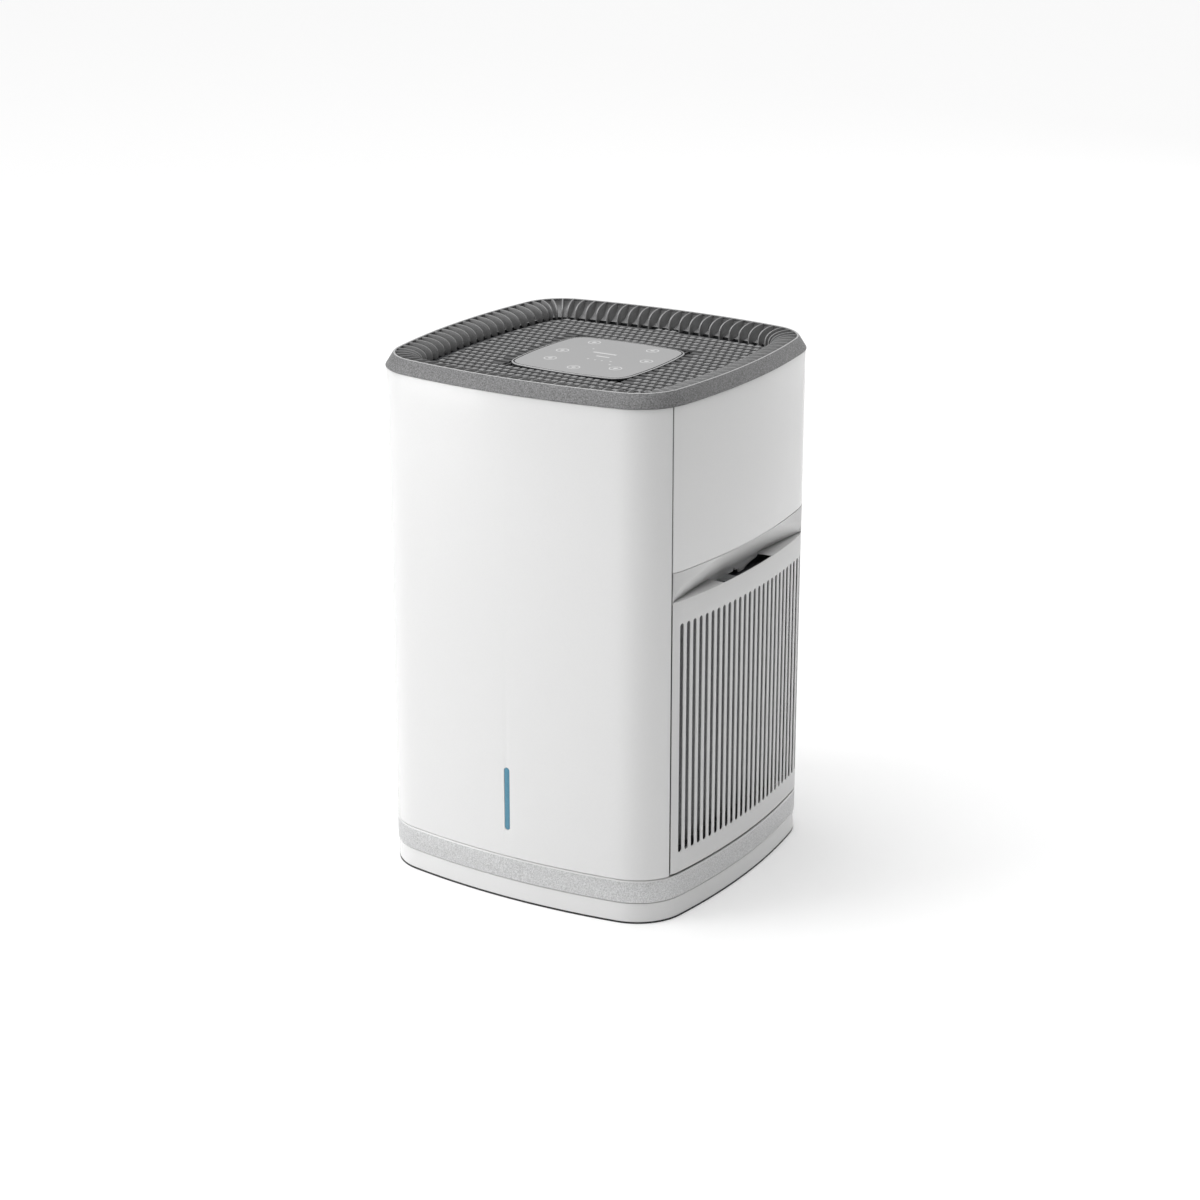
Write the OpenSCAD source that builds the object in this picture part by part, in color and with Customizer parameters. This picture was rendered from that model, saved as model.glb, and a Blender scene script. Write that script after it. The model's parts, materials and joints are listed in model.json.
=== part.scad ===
// Compact thermoelectric dehumidifier: a bowed-square tower with slotted filter doors,
// a ribbed air outlet round a touch panel on top, and a water tank that pulls out of the rear.
// Millimetres. Front is -Y, right is +X, and the floor is z = 0.

/* [Body] */
// Half of the body's width, at the middle of its bowed sides
half_w = 105; // [95:0.5:120]
// Half of the body's depth, at the middle of its bowed front and rear
half_d = 103.6; // [95:0.1:120]
// Radius of the bowed sides
side_r = 436.7; // [380:0.1:600]
// Radius of the four vertical corners
corner_r = 33.4; // [28:0.1:38]
// Wall thickness of the outer shells
wall = 2.4; // [2:0.1:3]
// Distance from the centre to the vertical seams between shells and sides
seam_y = 78.5; // [76:0.1:80]
// Width of each visible seam
seam_gap = 0.55; // [0.2:0.05:0.6]

/* [Heights] */
// Underside of the base plinth
plinth_bottom = 0.6; // [0.4:0.1:1.2]
// Underside of the trim band
band_bottom = 13.2; // [12:0.1:15]
// Top of the trim band
band_top = 27.7; // [26:0.1:30]
// Top edge of the filter doors
door_top = 196.7; // [190:0.1:200]
// Lower lip of the upper side panels
lip_z = 214.5; // [210:0.1:218]
// Underside of the top ring
ring_bottom = 311.3; // [309:0.1:313]
// Top of the rim, which is the overall height
rim_top = 319.2; // [318:0.1:322]

/* [Doors] */
// Number of air slots in each door
slot_count = 26; // [20:1:26]
// Distance between neighbouring slots
slot_pitch = 5.84; // [5.6:0.01:5.9]
// How far the row of slots sits towards the rear
slot_shift = 1.9; // [0:0.1:2]
// Width of a slot
slot_w = 3.1; // [2:0.1:3.4]
// Lower end of the slots
slot_low = 41.5; // [39:0.5:45]
// Upper end of the slots
slot_high = 183; // [170:0.5:183]
// Half of the width of the finger cut-out in the ledge
pull_half = 29; // [24:0.5:34]

/* [Top] */
// Distance between neighbouring ribs of the air outlet
rib_pitch = 7.7; // [7:0.1:8]
// Half of the width of the touch panel
panel_half = 43; // [41:0.5:43.5]
// Half of the width of the outlet mesh
mesh_half = 83; // [80:0.5:83]
// Distance between the rows of the mesh
mesh_pitch = 6.6; // [6:0.1:7]

/* [Fan] */
// Radius of the impeller
fan_r = 73; // [68:0.5:73]
// Number of impeller blades
blade_count = 7; // [5:1:9]
// Pitch angle of the blades
blade_tilt = 32; // [25:1:35]

/* [Tank] */
// Half of the tank's width
tank_half = 69; // [64:0.5:69]
// Top of the tank's walls
tank_top = 98; // [90:0.5:99]
// Wall thickness of the tank
tank_wall = 2; // [1.6:0.1:2.5]

/* [Hidden] */
$fn = 64;
eps = 0.01;
gap = seam_gap / 2;
shell_top = ring_bottom - 0.3;

// Corner centre, where a corner arc is tangent to both bowed sides
side_cx = half_w - side_r;
side_cy = half_d - side_r;
reach = side_r - corner_r;
function corner_centre(p, n) = n == 0 ? p
    : corner_centre([side_cx + sqrt(reach * reach - p[1] * p[1]),
                     side_cy + sqrt(reach * reach - p[0] * p[0])], n - 1);
corner = corner_centre([half_w - corner_r, half_d - corner_r], 16);
turn_x = asin(corner[1] / reach);
turn_y = asin(corner[0] / reach);

// Points along an arc, without its last point
function arc(c, r, a0, a1, n) = [for (i = [0 : n - 1]) let (a = a0 + (a1 - a0) * i / n) c + r * [cos(a), sin(a)]];

// Bowed-square outline, moved inward by inset
function outline(inset, ns = 16, nc = 10) = let (rs = side_r - inset, rc = corner_r - inset) concat(
    arc([side_cx, 0], rs, -turn_x, turn_x, ns),
    arc(corner, rc, turn_x, 90 - turn_y, nc),
    arc([0, side_cy], rs, 90 - turn_y, 90 + turn_y, ns),
    arc([-corner[0], corner[1]], rc, 90 + turn_y, 180 - turn_x, nc),
    arc([-side_cx, 0], rs, 180 - turn_x, 180 + turn_x, ns),
    arc([-corner[0], -corner[1]], rc, 180 + turn_x, 270 - turn_y, nc),
    arc([0, -side_cy], rs, 270 - turn_y, 270 + turn_y, ns),
    arc([corner[0], -corner[1]], rc, 270 + turn_y, 360 - turn_x, nc));

// Width of the right side at depth y, for a given inset
function side_x(y, inset) = abs(y) < (side_r - inset) * sin(turn_x)
    ? side_cx + sqrt((side_r - inset) * (side_r - inset) - y * y)
    : corner[0] + sqrt((corner_r - inset) * (corner_r - inset) - pow(abs(y) - corner[1], 2));

module slab(z0, z1, inset) {
    translate([0, 0, z0]) linear_extrude(z1 - z0) polygon(outline(inset));
}

module skin(z0, z1, inset = 0, thick = wall) {
    translate([0, 0, z0]) linear_extrude(z1 - z0) difference() {
        polygon(outline(inset));
        polygon(outline(inset + thick));
    }
}

// Box given by its two corners
module block(lo, hi) {
    translate(lo) cube(hi - lo);
}

// Solid swept round the outline, from a closed section of [inset, z] points
module outline_sweep(section) {
    loops = [for (s = section) [for (p = outline(s[0])) [p[0], p[1], s[1]]]];
    n = len(loops[0]);
    m = len(section);
    polyhedron(
        points = [for (l = loops) each l],
        faces = [for (k = [0 : m - 1]) for (i = [0 : n - 1])
            let (k2 = (k + 1) % m, i2 = (i + 1) % n)
            [k * n + i, k * n + i2, k2 * n + i2, k2 * n + i]]);
}

module both_sides(side) {
    if (side > 0) children();
    else mirror([1, 0, 0]) children();
}

module rod(r, z0, z1) {
    translate([0, 0, z0]) cylinder(r = r, h = z1 - z0);
}

// ---------- base ----------
foot_xy = 70;
foot_r = 8;
foot_pad = 1.6;
foot_stud_r = 2.5;
plinth_inset = 0.6;

module at_feet() {
    for (sx = [-1, 1], sy = [-1, 1]) translate([sx * foot_xy, sy * foot_xy, 0]) children();
}

module rubber_feet() {
    color("#2b2b2d") at_feet() {
        rod(foot_r, 0, foot_pad);
        rod(foot_stud_r, foot_pad - eps, plinth_floor);
    }
}

plinth_floor = plinth_bottom + 3;
screw_x = 84;
screw_y = 40;
screw_r = 1.5;
screw_head_r = 3;
screw_head_top = plinth_bottom + 2;
screw_tip = 30.6;
boss_r = 5;

module at_base_screws() {
    for (sx = [-1, 1], sy = [-1, 1]) translate([sx * screw_x, sy * screw_y, 0]) children();
}

module base_plinth() {
    color("#e9eaea") difference() {
        union() {
            difference() {
                slab(plinth_bottom, band_bottom, plinth_inset);
                slab(plinth_floor, band_bottom + 1, plinth_inset + wall);
            }
            at_base_screws() rod(boss_r, plinth_floor - eps, deck_bottom - 0.2);
        }
        at_feet() {
            rod(foot_r + 0.2, plinth_bottom - 1, foot_pad + 0.05);
            rod(foot_stud_r + 0.1, plinth_bottom - 1, plinth_floor + 1);
        }
        at_base_screws() {
            rod(screw_head_r + 0.3, plinth_bottom - 1, screw_head_top);
            rod(screw_r + 0.2, plinth_bottom, deck_bottom + 2);
        }
    }
}

module base_screws() {
    color("#8d9095") at_base_screws() {
        rod(screw_head_r, plinth_bottom + 0.2, screw_head_top);
        rod(screw_r, screw_head_top - eps, screw_tip);
    }
}

module trim_band() {
    color("#b9bcc0") skin(band_bottom + 0.2, band_top, 0);
}

deck_bottom = 28;
deck_top = 31;
deck_notch_x = 94.5;
rail_x0 = 60;
rail_x1 = 64;
ear_y = 6;
ear_half = 2.5;
ear_r = 1.9;

module base_deck() {
    color("#3a3c40") difference() {
        slab(deck_bottom, deck_top, wall + 0.3);
        at_base_screws() rod(screw_r + 0.1, deck_bottom - 1, deck_top + 1);
        // room for the lower edges of the doors
        for (s = [-1, 1]) both_sides(s) block([deck_notch_x, -79, deck_bottom - 2], [half_w + 2.5, 79, deck_top + 3]);
    }
    // rails that the tank runs on, and ears that hold the door pins
    color("#3a3c40") for (s = [-1, 1]) both_sides(s) {
        block([rail_x0, tank_front, deck_top - eps], [rail_x1, tank_rear - 2, tank_low - 0.1]);
        for (sy = [-1, 1]) translate([0, sy * ear_y, 0]) difference() {
            union() {
                block([88, -ear_half, deck_top - eps], [pin_x - 1, ear_half, pin_z + ear_r]);
                along_pin(ear_r, 2 * ear_half);
            }
            along_pin(pin_r + 0.02, 8);
        }
    }
}

// ---------- outer shells ----------
shell_reach = 200; // past every side of the body
strip_w = 3.6;
strip_low = 45;
strip_high = 84.6;

// Round-ended upright slot of width w, cut along Y
module upright_slot(w, z0, z1, depth) {
    rotate([90, 0, 0]) linear_extrude(depth, center = true) {
        translate([0, (z0 + z1) / 2]) square([w, z1 - z0 - w], center = true);
        translate([0, z0 + w / 2]) circle(w / 2);
        translate([0, z1 - w / 2]) circle(w / 2);
    }
}

module front_shell() {
    color("#f4f4f3") difference() {
        skin(band_top + 0.2, shell_top);
        block([-shell_reach, -seam_y - gap, 0], [shell_reach, shell_reach, 400]);
        translate([0, -half_d, 0]) upright_slot(strip_w + 0.1, strip_low, strip_high, 20);
    }
}

tank_open_top = 106;
vent_count = 10;
vent_pitch = 6;
vent_w = 2.4;
vent_z0 = 226;
vent_z1 = 250;

module rear_shell() {
    color("#f4f4f3") difference() {
        skin(tank_open_top, shell_top);
        block([-shell_reach, -shell_reach, 0], [shell_reach, seam_y + gap, 400]);
        translate([jack_x, 0, jack_z]) rotate([-90, 0, 0]) rod(jack_r + 0.3, half_d - 40, half_d + 20);
        // row of rear vents for the electronics
        for (i = [0 : vent_count - 1])
            translate([(i - (vent_count - 1) / 2) * vent_pitch, half_d, 0]) upright_slot(vent_w, vent_z0, vent_z1, 20);
    }
}

side_from = 60; // the side pieces lie outside this x

module upper_panel(side) {
    color("#e3e3e2") both_sides(side) intersection() {
        skin(lip_z, shell_top);
        block([side_from, -seam_y + gap, 0], [shell_reach, seam_y - gap, 400]);
    }
}

module upper_panel_right() { upper_panel(1); }
module upper_panel_left() { upper_panel(-1); }

// Inner edge of the ledge, a shallow curve behind the bowed side
scoop_inner = 92.6;
scoop_bow = 3.6;
scoop_wall = 2;
function ledge_x(y) = scoop_inner + scoop_bow * pow(y / seam_y, 2);

// Sloping wall from the ledge's inner edge up to the panel's lip
module finger_scoop(side) {
    n = 24;
    span = seam_y - gap - 0.1;
    ys = [for (i = [0 : n]) -span + 2 * span * i / n];
    function ring_points(y) = [
        [side_x(y, 0.4), y, lip_z - 0.25], [ledge_x(y), y, door_top + 0.7],
        [ledge_x(y) - scoop_wall, y, door_top + 0.7], [side_x(y, 0.4) - wall, y, lip_z - 0.25]];
    color("#d4d4d3") both_sides(side) polyhedron(
        points = [for (y = ys) each ring_points(y)],
        faces = concat(
            [[0, 1, 2, 3]],
            [for (i = [0 : n - 1]) for (k = [0 : 3])
                let (a = 4 * i, b = 4 * (i + 1), k2 = (k + 1) % 4) [a + k2, a + k, b + k, b + k2]],
            [[4 * n + 3, 4 * n + 2, 4 * n + 1, 4 * n]]));
}

module finger_scoop_right() { finger_scoop(1); }
module finger_scoop_left() { finger_scoop(-1); }

// ---------- filter doors ----------
door_bottom = band_top + 0.9;
pin_x = 102;
pin_z = 31.2;
pin_r = 1;
pin_half = 15;
lug_y = 12;
clip_y = 58;
door_span = seam_y - gap;
door_skin = 1.5;
door_step = 0.8;
ledge_t = 2;
cut_x = 102.9;

// Cylinder about the door's pin
module along_pin(r, length) {
    translate([pin_x, 0, pin_z]) rotate([90, 0, 0]) cylinder(r = r, h = length, center = true);
}

module door_body() {
    difference() {
        union() {
            // slotted skin, set back along its lower edge to clear the band as it tilts
            intersection() {
                union() {
                    skin(door_bottom + door_step, door_top, 0, door_skin);
                    skin(door_bottom, door_bottom + door_step + eps, door_step, door_skin - door_step);
                }
                block([side_from, -door_span, 0], [shell_reach, door_span, 400]);
            }
            // ledge along the top
            intersection() {
                slab(door_top - ledge_t, door_top, 1);
                linear_extrude(400) polygon(concat(
                    [for (i = [0 : 16]) let (y = -door_span + door_span * i / 8) [ledge_x(y), y]],
                    [[150, door_span], [150, -door_span]]));
            }
            // hinge lugs behind the lower edge, and clips for the filter's frame
            for (s = [-1, 1]) {
                block([99.8, s * lug_y - 3, 29.4], [104, s * lug_y + 3, 33.6]);
                block([frame_x1 + 0.05, s * clip_y - 4, 34], [100.4, s * clip_y + 4, 38]);
                block([frame_x1 + 0.05, s * clip_y - 4, 184], [100.4, s * clip_y + 4, 189]);
            }
        }
        along_pin(pin_r + 0.05, 2 * pin_half + 1);
        // room for the deck's ears
        for (s = [-1, 1]) translate([0, s * ear_y, 0]) along_pin(ear_r + 0.4, 2 * ear_half + 0.6);
        for (i = [0 : slot_count - 1])
            translate([100, slot_shift + (i - (slot_count - 1) / 2) * slot_pitch, 0]) rotate(90)
                upright_slot(slot_w, slot_low, slot_high, 30);
        // finger cut-out in the ledge
        block([frame_wall_x, -pull_half - 1, door_top - 6], [cut_x, pull_half - 1, door_top + 1]);
    }
}

module filter_door_right() { color("#eeeeed") both_sides(1) door_body(); }
module filter_door_left() { color("#eeeeed") both_sides(-1) door_body(); }

module door_pin(side) {
    color("#9a9da1") both_sides(side) along_pin(pin_r, 2 * pin_half);
}

module door_pin_right() { door_pin(1); }
module door_pin_left() { door_pin(-1); }

frame_x0 = 84;
frame_x1 = 94;
frame_y = 72;
frame_low = 36;
frame_high = 190;
frame_border = 4;
frame_floor = 1.5;
window_y = [44, 40]; // pitch and width of the frame's windows
window_z = [47, 43]; // pitch and height

// The filter's frame is clipped to the door by four ears
module filter_frame(side) {
    color("#6a6d72") both_sides(side) difference() {
        block([frame_x0, -frame_y, frame_low], [frame_x1, frame_y, frame_high]);
        block([frame_x0 + frame_floor, -frame_y + frame_border, frame_low + frame_border],
              [frame_x1 + 1, frame_y - frame_border, frame_high - frame_border]);
        for (i = [0 : 2], j = [0 : 2])
            translate([frame_x0 - 1, -64 + window_y[0] * i, frame_low + 2 * frame_border + window_z[0] * j])
                cube([5, window_y[1], window_z[1]]);
    }
}

module filter_frame_right() { filter_frame(1); }
module filter_frame_left() { filter_frame(-1); }

module filter_media(side) {
    color("#5d6064") both_sides(side)
        block([frame_x0 + frame_floor + eps, -frame_y + frame_border + 0.2, frame_low + frame_border + 0.2],
              [frame_x1 - 0.8, frame_y - frame_border - 0.2, frame_high - frame_border - 0.2]);
}

module filter_media_right() { filter_media(1); }
module filter_media_left() { filter_media(-1); }

catch_y = [-20, -8];
catch_x = 100;
catch_top = 193.6;

// Spring-steel tongue that the ledge snaps over
module door_catch(side) {
    color("#8d9095") both_sides(side) {
        block([frame_wall_x + 0.05, catch_y[0], catch_top - 5.6], [frame_wall_x + 1, catch_y[1], catch_top]);
        block([frame_wall_x + 0.05, catch_y[0], catch_top - 1], [catch_x, catch_y[1], catch_top]);
        block([catch_x - 1, catch_y[0], catch_top - 2.2], [catch_x, catch_y[1], catch_top]);
    }
}

module door_catch_right() { door_catch(1); }
module door_catch_left() { door_catch(-1); }

// ---------- inner structure ----------
frame_wall_x = 80;
frame_wall_y = 76;
frame_wall_t = 2.5;
window_half = 64;
sink_high = 196;
mid_low = 106.5;
mid_high = 109.5;
fan_deck_low = 206;
fan_deck_high = 209;

module inner_frame() {
    color("#44474c") for (s = [-1, 1]) both_sides(s) difference() {
        union() {
            block([frame_wall_x - frame_wall_t, -frame_wall_y, deck_top], [frame_wall_x, frame_wall_y, fan_deck_low]);
            for (sy = [-1, 1]) block([frame_wall_x - eps, sy * (frame_wall_y + 1) - 1, deck_top],
                                     [frame_wall_x + 8, sy * (frame_wall_y + 1) + 1, fan_deck_low]);
        }
        block([0, -window_half, mid_high + 8], [shell_reach, window_half, sink_high]);
    }
}

module mid_deck() {
    color("#3a3c40") difference() {
        block([-frame_wall_x + frame_wall_t + 0.1, -frame_wall_y, mid_low],
              [frame_wall_x - frame_wall_t - 0.1, frame_wall_y, mid_high]);
        rod(drain_r + 3, mid_low - 1, mid_high + 1);
    }
}

inlet_r = 64;
deck_inset = 11;

module fan_deck() {
    color("#3a3c40") difference() {
        slab(fan_deck_low, fan_deck_high, deck_inset);
        rod(inlet_r, fan_deck_low - 1, fan_deck_high + 1);
    }
}

// ---------- thermoelectric pack ----------
sink_mid = 156;
hot_base = 24;
hot_tip = 3;
hot_y = 56;
cold_base = 36;
cold_tip = 68;
cold_y = 50;
tile_x0 = 28;
tile_x1 = 32;
fin_t = 1.2;

module finned_sink(x_base0, x_base1, x_tip, half_y, z0, z1, count) {
    block([x_base0, -half_y, z0], [x_base1, half_y, z1]);
    tip_lo = min(x_tip, x_base0);
    tip_hi = max(x_tip, x_base1);
    for (i = [0 : count - 1]) {
        y = -half_y + (2 * half_y - fin_t) * i / (count - 1);
        block([tip_lo, y, z0], [tip_hi, y + fin_t, z1]);
    }
}

module hot_sink(side) {
    color("#b8bcc0") both_sides(side) finned_sink(hot_base, tile_x0 - 0.05, hot_tip, hot_y, 119, sink_high, 17);
}

module hot_sink_right() { hot_sink(1); }
module hot_sink_left() { hot_sink(-1); }

// Two ceramic plates with a grid of semiconductor pellets between them
module peltier(side) {
    plate = 20;
    pellet = 4;
    pitch = 5.5;
    color("#eceae2") both_sides(side) {
        block([tile_x0, -plate, sink_mid - plate], [tile_x0 + 1, plate, sink_mid + plate]);
        block([tile_x1 - 1, -plate, sink_mid - plate], [tile_x1, plate, sink_mid + plate]);
        for (i = [-3 : 3], j = [-3 : 3]) translate([(tile_x0 + tile_x1) / 2, pitch * i, sink_mid + pitch * j])
            cube([tile_x1 - tile_x0 - 2 + 2 * eps, pellet, pellet], center = true);
    }
}

module peltier_right() { peltier(1); }
module peltier_left() { peltier(-1); }

module cold_sink(side) {
    color("#c9cdd1") both_sides(side) finned_sink(tile_x1 + 0.05, cold_base, cold_tip, cold_y, 120, 192, 15);
}

module cold_sink_right() { cold_sink(1); }
module cold_sink_left() { cold_sink(-1); }

tray_low = mid_high + 0.1;
tray_x = 72;
tray_y = 60;
tray_wall = 1.6;
drain_r = 6;
bar_y = 44;

// Two bars under the sinks, from wall to wall
module sink_bracket() {
    color("#54575c") for (s = [-1, 1])
        block([-frame_wall_x + frame_wall_t + 0.05, s * bar_y - 3, 116],
              [frame_wall_x - frame_wall_t - 0.05, s * bar_y + 3, 118.95]);
}

module drip_tray() {
    color("#d7dde0") difference() {
        union() {
            difference() {
                block([-tray_x, -tray_y, tray_low], [tray_x, tray_y, tray_low + 6]);
                block([-tray_x + tray_wall, -tray_y + tray_wall, tray_low + 2],
                      [tray_x - tray_wall, tray_y - tray_wall, tray_low + 7]);
            }
            rod(drain_r, tank_top + 4.4, tray_low + 2);
        }
        rod(drain_r - 2, tank_top, tray_low + 7);
    }
}

// ---------- fan ----------
shroud_in = 75;
shroud_out = 77;
shroud_top = 262;
bracket_top = shroud_top + 3;
hub_low = 222;
hub_high = 244;
motor_low = 245.5;
motor_high = shroud_top;
shaft_r = 2.5;
arm_r = 81;
arm_screw_r = 1.45;
hub_r = 24;

module at_arms() {
    for (i = [0 : 3]) rotate(45 + 90 * i) children();
}

module fan_shroud() {
    color("#54575c") difference() {
        union() {
            rod(shroud_out, fan_deck_high, shroud_top);
            at_arms() translate([arm_r, 0, 0]) rod(boss_r, fan_deck_high, shroud_top);
        }
        rod(shroud_in, fan_deck_high - 1, shroud_top + 1);
        at_arms() translate([arm_r, 0, 0]) rod(arm_screw_r + 0.05, shroud_top - 12, shroud_top + 1);
    }
}

module motor_bracket() {
    color("#54575c") difference() {
        union() {
            rod(hub_r + 1, shroud_top, bracket_top);
            at_arms() block([20, -4, shroud_top], [arm_r + 4, 4, bracket_top]);
        }
        rod(4, shroud_top - 1, bracket_top + 1);
        at_arms() translate([arm_r, 0, 0]) rod(arm_screw_r + 0.15, shroud_top - 1, bracket_top + 1);
    }
}

module bracket_screws() {
    color("#8d9095") at_arms() translate([arm_r, 0, 0]) {
        rod(screw_head_r, bracket_top + 0.05, bracket_top + 2);
        rod(arm_screw_r, shroud_top - 10, bracket_top + 0.06);
    }
}

module fan_motor() {
    color("#2f3136") difference() {
        rod(21, motor_low, motor_high);
        rod(shaft_r + 0.06, motor_low - 1, motor_high - 3);
    }
}

module motor_shaft() {
    color("#a9acb0") rod(shaft_r, hub_low - 2, motor_high - 4);
}

module fan_impeller() {
    color("#e6e6e4") difference() {
        union() {
            rod(hub_r, hub_low, hub_high);
            intersection() {
                for (i = [0 : blade_count - 1]) rotate(360 / blade_count * i)
                    translate([48, 0, (hub_low + hub_high) / 2]) rotate([blade_tilt, 0, 0])
                        cube([60, 40, 2], center = true);
                rod(fan_r, hub_low - 6, hub_high);
            }
        }
        rod(shaft_r + 0.02, hub_low - 3, hub_high + 1);
    }
}

// ---------- top ----------
ring_over = 0.5;
rim_inset = 4.2;
rim_inner = rim_inset + 1.4;

module top_ring() {
    color("#8a8b8c") outline_sweep([
        [-ring_over, ring_bottom], [-ring_over, ring_bottom + 0.6], [rim_inset, rim_top],
        [rim_inset + 1, rim_top], [rim_inner, rim_top - 0.6], [rim_inner, ring_bottom]]);
}

// Section of the outlet, measured inward from the body's outline
rib_out = rim_inner + 0.2;
rib_in = 20.6;
rib_low = 308.4;
rib_t = 1;
rib_foot = 311.6;
cove_in = 16.6;
cove_low = 309.6;
cove_high = rim_top - 1.4;
vent_low = 306.8;

// Concave floor between the ribs, raised by lift
function cove(lift, n = 6) = [for (i = [0 : n]) let (a = 90 * i / n)
    [rib_out + (cove_in - rib_out) * (1 - cos(a)) + lift, cove_high - (cove_high - cove_low) * sin(a) + lift]];

module outlet_bowl() {
    color("#8a8b8c") outline_sweep(concat(
        [[wall + 0.3, vent_low], [wall + 0.3, rib_low], [rib_out, rib_low]],
        cove(0), [[cove_in, vent_low]]));
}

// One rib in its own frame: x runs inward from the rim, z is height
module rib() {
    n = 6;
    drop = rim_top - 0.1 - rib_foot;
    lower = cove(0.15);
    rotate([90, 0, 0]) linear_extrude(rib_t, center = true) polygon(concat(
        [for (i = [0 : n]) let (a = 90 * i / n)
            [rib_out + 0.15 + (rib_in - rib_out - 0.15) * sin(a), rib_foot + drop * cos(a)]],
        [[rib_in, rib_low], [cove_in + 0.15, rib_low]],
        [for (i = [n : -1 : 0]) lower[i]]));
}

// Places children along one bowed side, pointing inward
module along_side(centre_x, turn, count) {
    for (i = [0 : count - 1]) let (a = -turn + 2 * turn * (i + 0.5) / count)
        translate([centre_x, 0, 0]) rotate(a) translate([side_r, 0, 0]) rotate(180) children();
}

module vent_ribs() {
    side_n = round(side_r * 2 * turn_x * PI / 180 / rib_pitch);
    corner_n = 5;
    color("#8a8b8c") {
        for (s = [0, 180]) rotate(s) along_side(side_cx, turn_x, side_n) rib();
        for (s = [90, 270]) rotate(s) along_side(side_cy, turn_y, side_n) rib();
        for (sx = [0, 1], sy = [0, 1]) mirror([sx, 0, 0]) mirror([0, sy, 0])
            for (i = [0 : corner_n - 1])
                let (a = turn_x + (90 - turn_x - turn_y) * (i + 0.5) / corner_n)
                translate(concat(corner, [0])) rotate(a) translate([corner_r, 0, 0]) rotate(180) rib();
        // foot under the ribs, in one length for each side and corner
        difference() {
            skin(vent_low, rib_low + 0.4, rib_in - 1.2, 1.6);
            for (sx = [0, 1], sy = [0, 1]) mirror([sx, 0, 0]) mirror([0, sy, 0]) for (a = [turn_x, 90 - turn_y])
                translate(concat(corner, [0])) rotate(a)
                    block([corner_r - rib_in - 2, -0.1, vent_low - 1], [corner_r - rib_in + 3, 0.1, rib_low + 1]);
        }
    }
}

grille_low = 307.8;
grille_high = 310.2;
grille_edge = 3; // gap between the ribs and the mesh
pocket_low = 309.1;
panel_seat = 39;
panel_round = 10.5;

module top_grille() {
    rows = floor((mesh_half - 3) / mesh_pitch);
    color("#9b9c9d") difference() {
        union() {
            slab(grille_low, 308.6, rib_in + 0.6);
            slab(308.5, grille_high, rib_in + grille_edge);
        }
        for (j = [-rows : rows - 1], i = [-1, 1], k = [0, 1])
            translate([i * (21 + 41 * k), (j + 0.5) * mesh_pitch, 0])
                if (k == 1 || abs((j + 0.5) * mesh_pitch) > panel_half + 4)
                    cube([37, 3, 10 * grille_high], center = true);
        block([-panel_seat, -panel_seat, 300], [panel_seat, panel_seat, 320]);
        translate([0, 0, pocket_low]) linear_extrude(10) soft_square(panel_half + 0.3, panel_round + 0.3);
    }
}

// Square of half width h with corners of radius r
module soft_square(h, r) {
    square([2 * h, 2 * (h - r)], center = true);
    square([2 * (h - r), 2 * h], center = true);
    for (sx = [-1, 1], sy = [-1, 1]) translate([sx * (h - r), sy * (h - r)]) circle(r);
}

module touch_panel() {
    color("#bfc0c1") translate([0, 0, pocket_low + 0.05])
        linear_extrude(1.25) soft_square(panel_half, panel_round);
}

housing_low = 288;
housing_half = 38.6;
housing_round = 9;
housing_wall = 2;
post_xy = 13;
board_low = 304;
board_high = 305.6;

module control_housing() {
    color("#3a3c40") difference() {
        union() {
            translate([0, 0, housing_low]) linear_extrude(pocket_low - 0.1 - housing_low)
                soft_square(housing_half, housing_round);
            for (sx = [-1, 1], sy = [-1, 1]) translate([sx * post_xy, sy * post_xy, 0])
                rod(3, bracket_top + 0.05, housing_low + 1);
        }
        translate([0, 0, housing_low + housing_wall]) linear_extrude(40)
            soft_square(housing_half - housing_wall, housing_round - housing_wall);
    }
}

module control_board() {
    color("#2f6b45") {
        block([-34, -34, board_low], [34, 34, board_high]);
        for (i = [0 : 7]) rotate(45 * i) translate([29, 0, 0]) rod(2.4, board_high - eps, board_high + 1.4);
        block([-9, -6, board_high - eps], [9, 6, board_high + 2.8]);
        for (sx = [-1, 1], sy = [-1, 1]) translate([sx * 27, sy * 27, 0])
            rod(2.4, housing_low + housing_wall + 0.05, board_low + eps);
    }
}

// ---------- water tank ----------
tank_low = 32.4;
tank_front = -72;
tank_rear = 86;
float_x = -44;
float_y = 30;
post_r = 3;
tank_floor = 2.5;
hand_half = 30;
hand_low = 82;
hand_high = 98;

module water_tank() {
    color("#a9c4d6") {
        difference() {
            block([-tank_half, tank_front, tank_low], [tank_half, tank_rear, tank_top]);
            block([-tank_half + tank_wall, tank_front + tank_wall, tank_low + tank_floor],
                  [tank_half - tank_wall, tank_rear - tank_wall, tank_top + 1]);
        }
        translate([float_x, float_y, 0]) rod(post_r, tank_low + 2, tank_top - 1);
    }
}

module tank_lid() {
    color("#dfe5e8") difference() {
        block([-tank_half, tank_front, tank_top + 0.05], [tank_half, tank_rear, tank_top + 3]);
        rod(12, tank_top - 1, tank_top + 4);
    }
}

// Drawer front that wraps round both rear corners
module tank_fascia() {
    color("#f4f4f3") difference() {
        union() {
            difference() {
                skin(band_top + 0.5, tank_open_top - 0.3);
                block([-shell_reach, -shell_reach, 0], [shell_reach, seam_y + gap, 400]);
            }
            // ribs that join the fascia to the tank
            for (s = [-1, 1]) block([s * 50 - 2, tank_rear + 0.05, 40], [s * 50 + 2, half_d - 4, 92]);
        }
        block([-hand_half, 0, hand_low], [hand_half, shell_reach, hand_high]);
    }
}

module tank_float() {
    color("#f0f0ee") translate([float_x, float_y, 0]) difference() {
        block([-12, -12, tank_low + 3], [12, 12, tank_low + 17]);
        rod(post_r + 0.1, 0, 100);
    }
}

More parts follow.
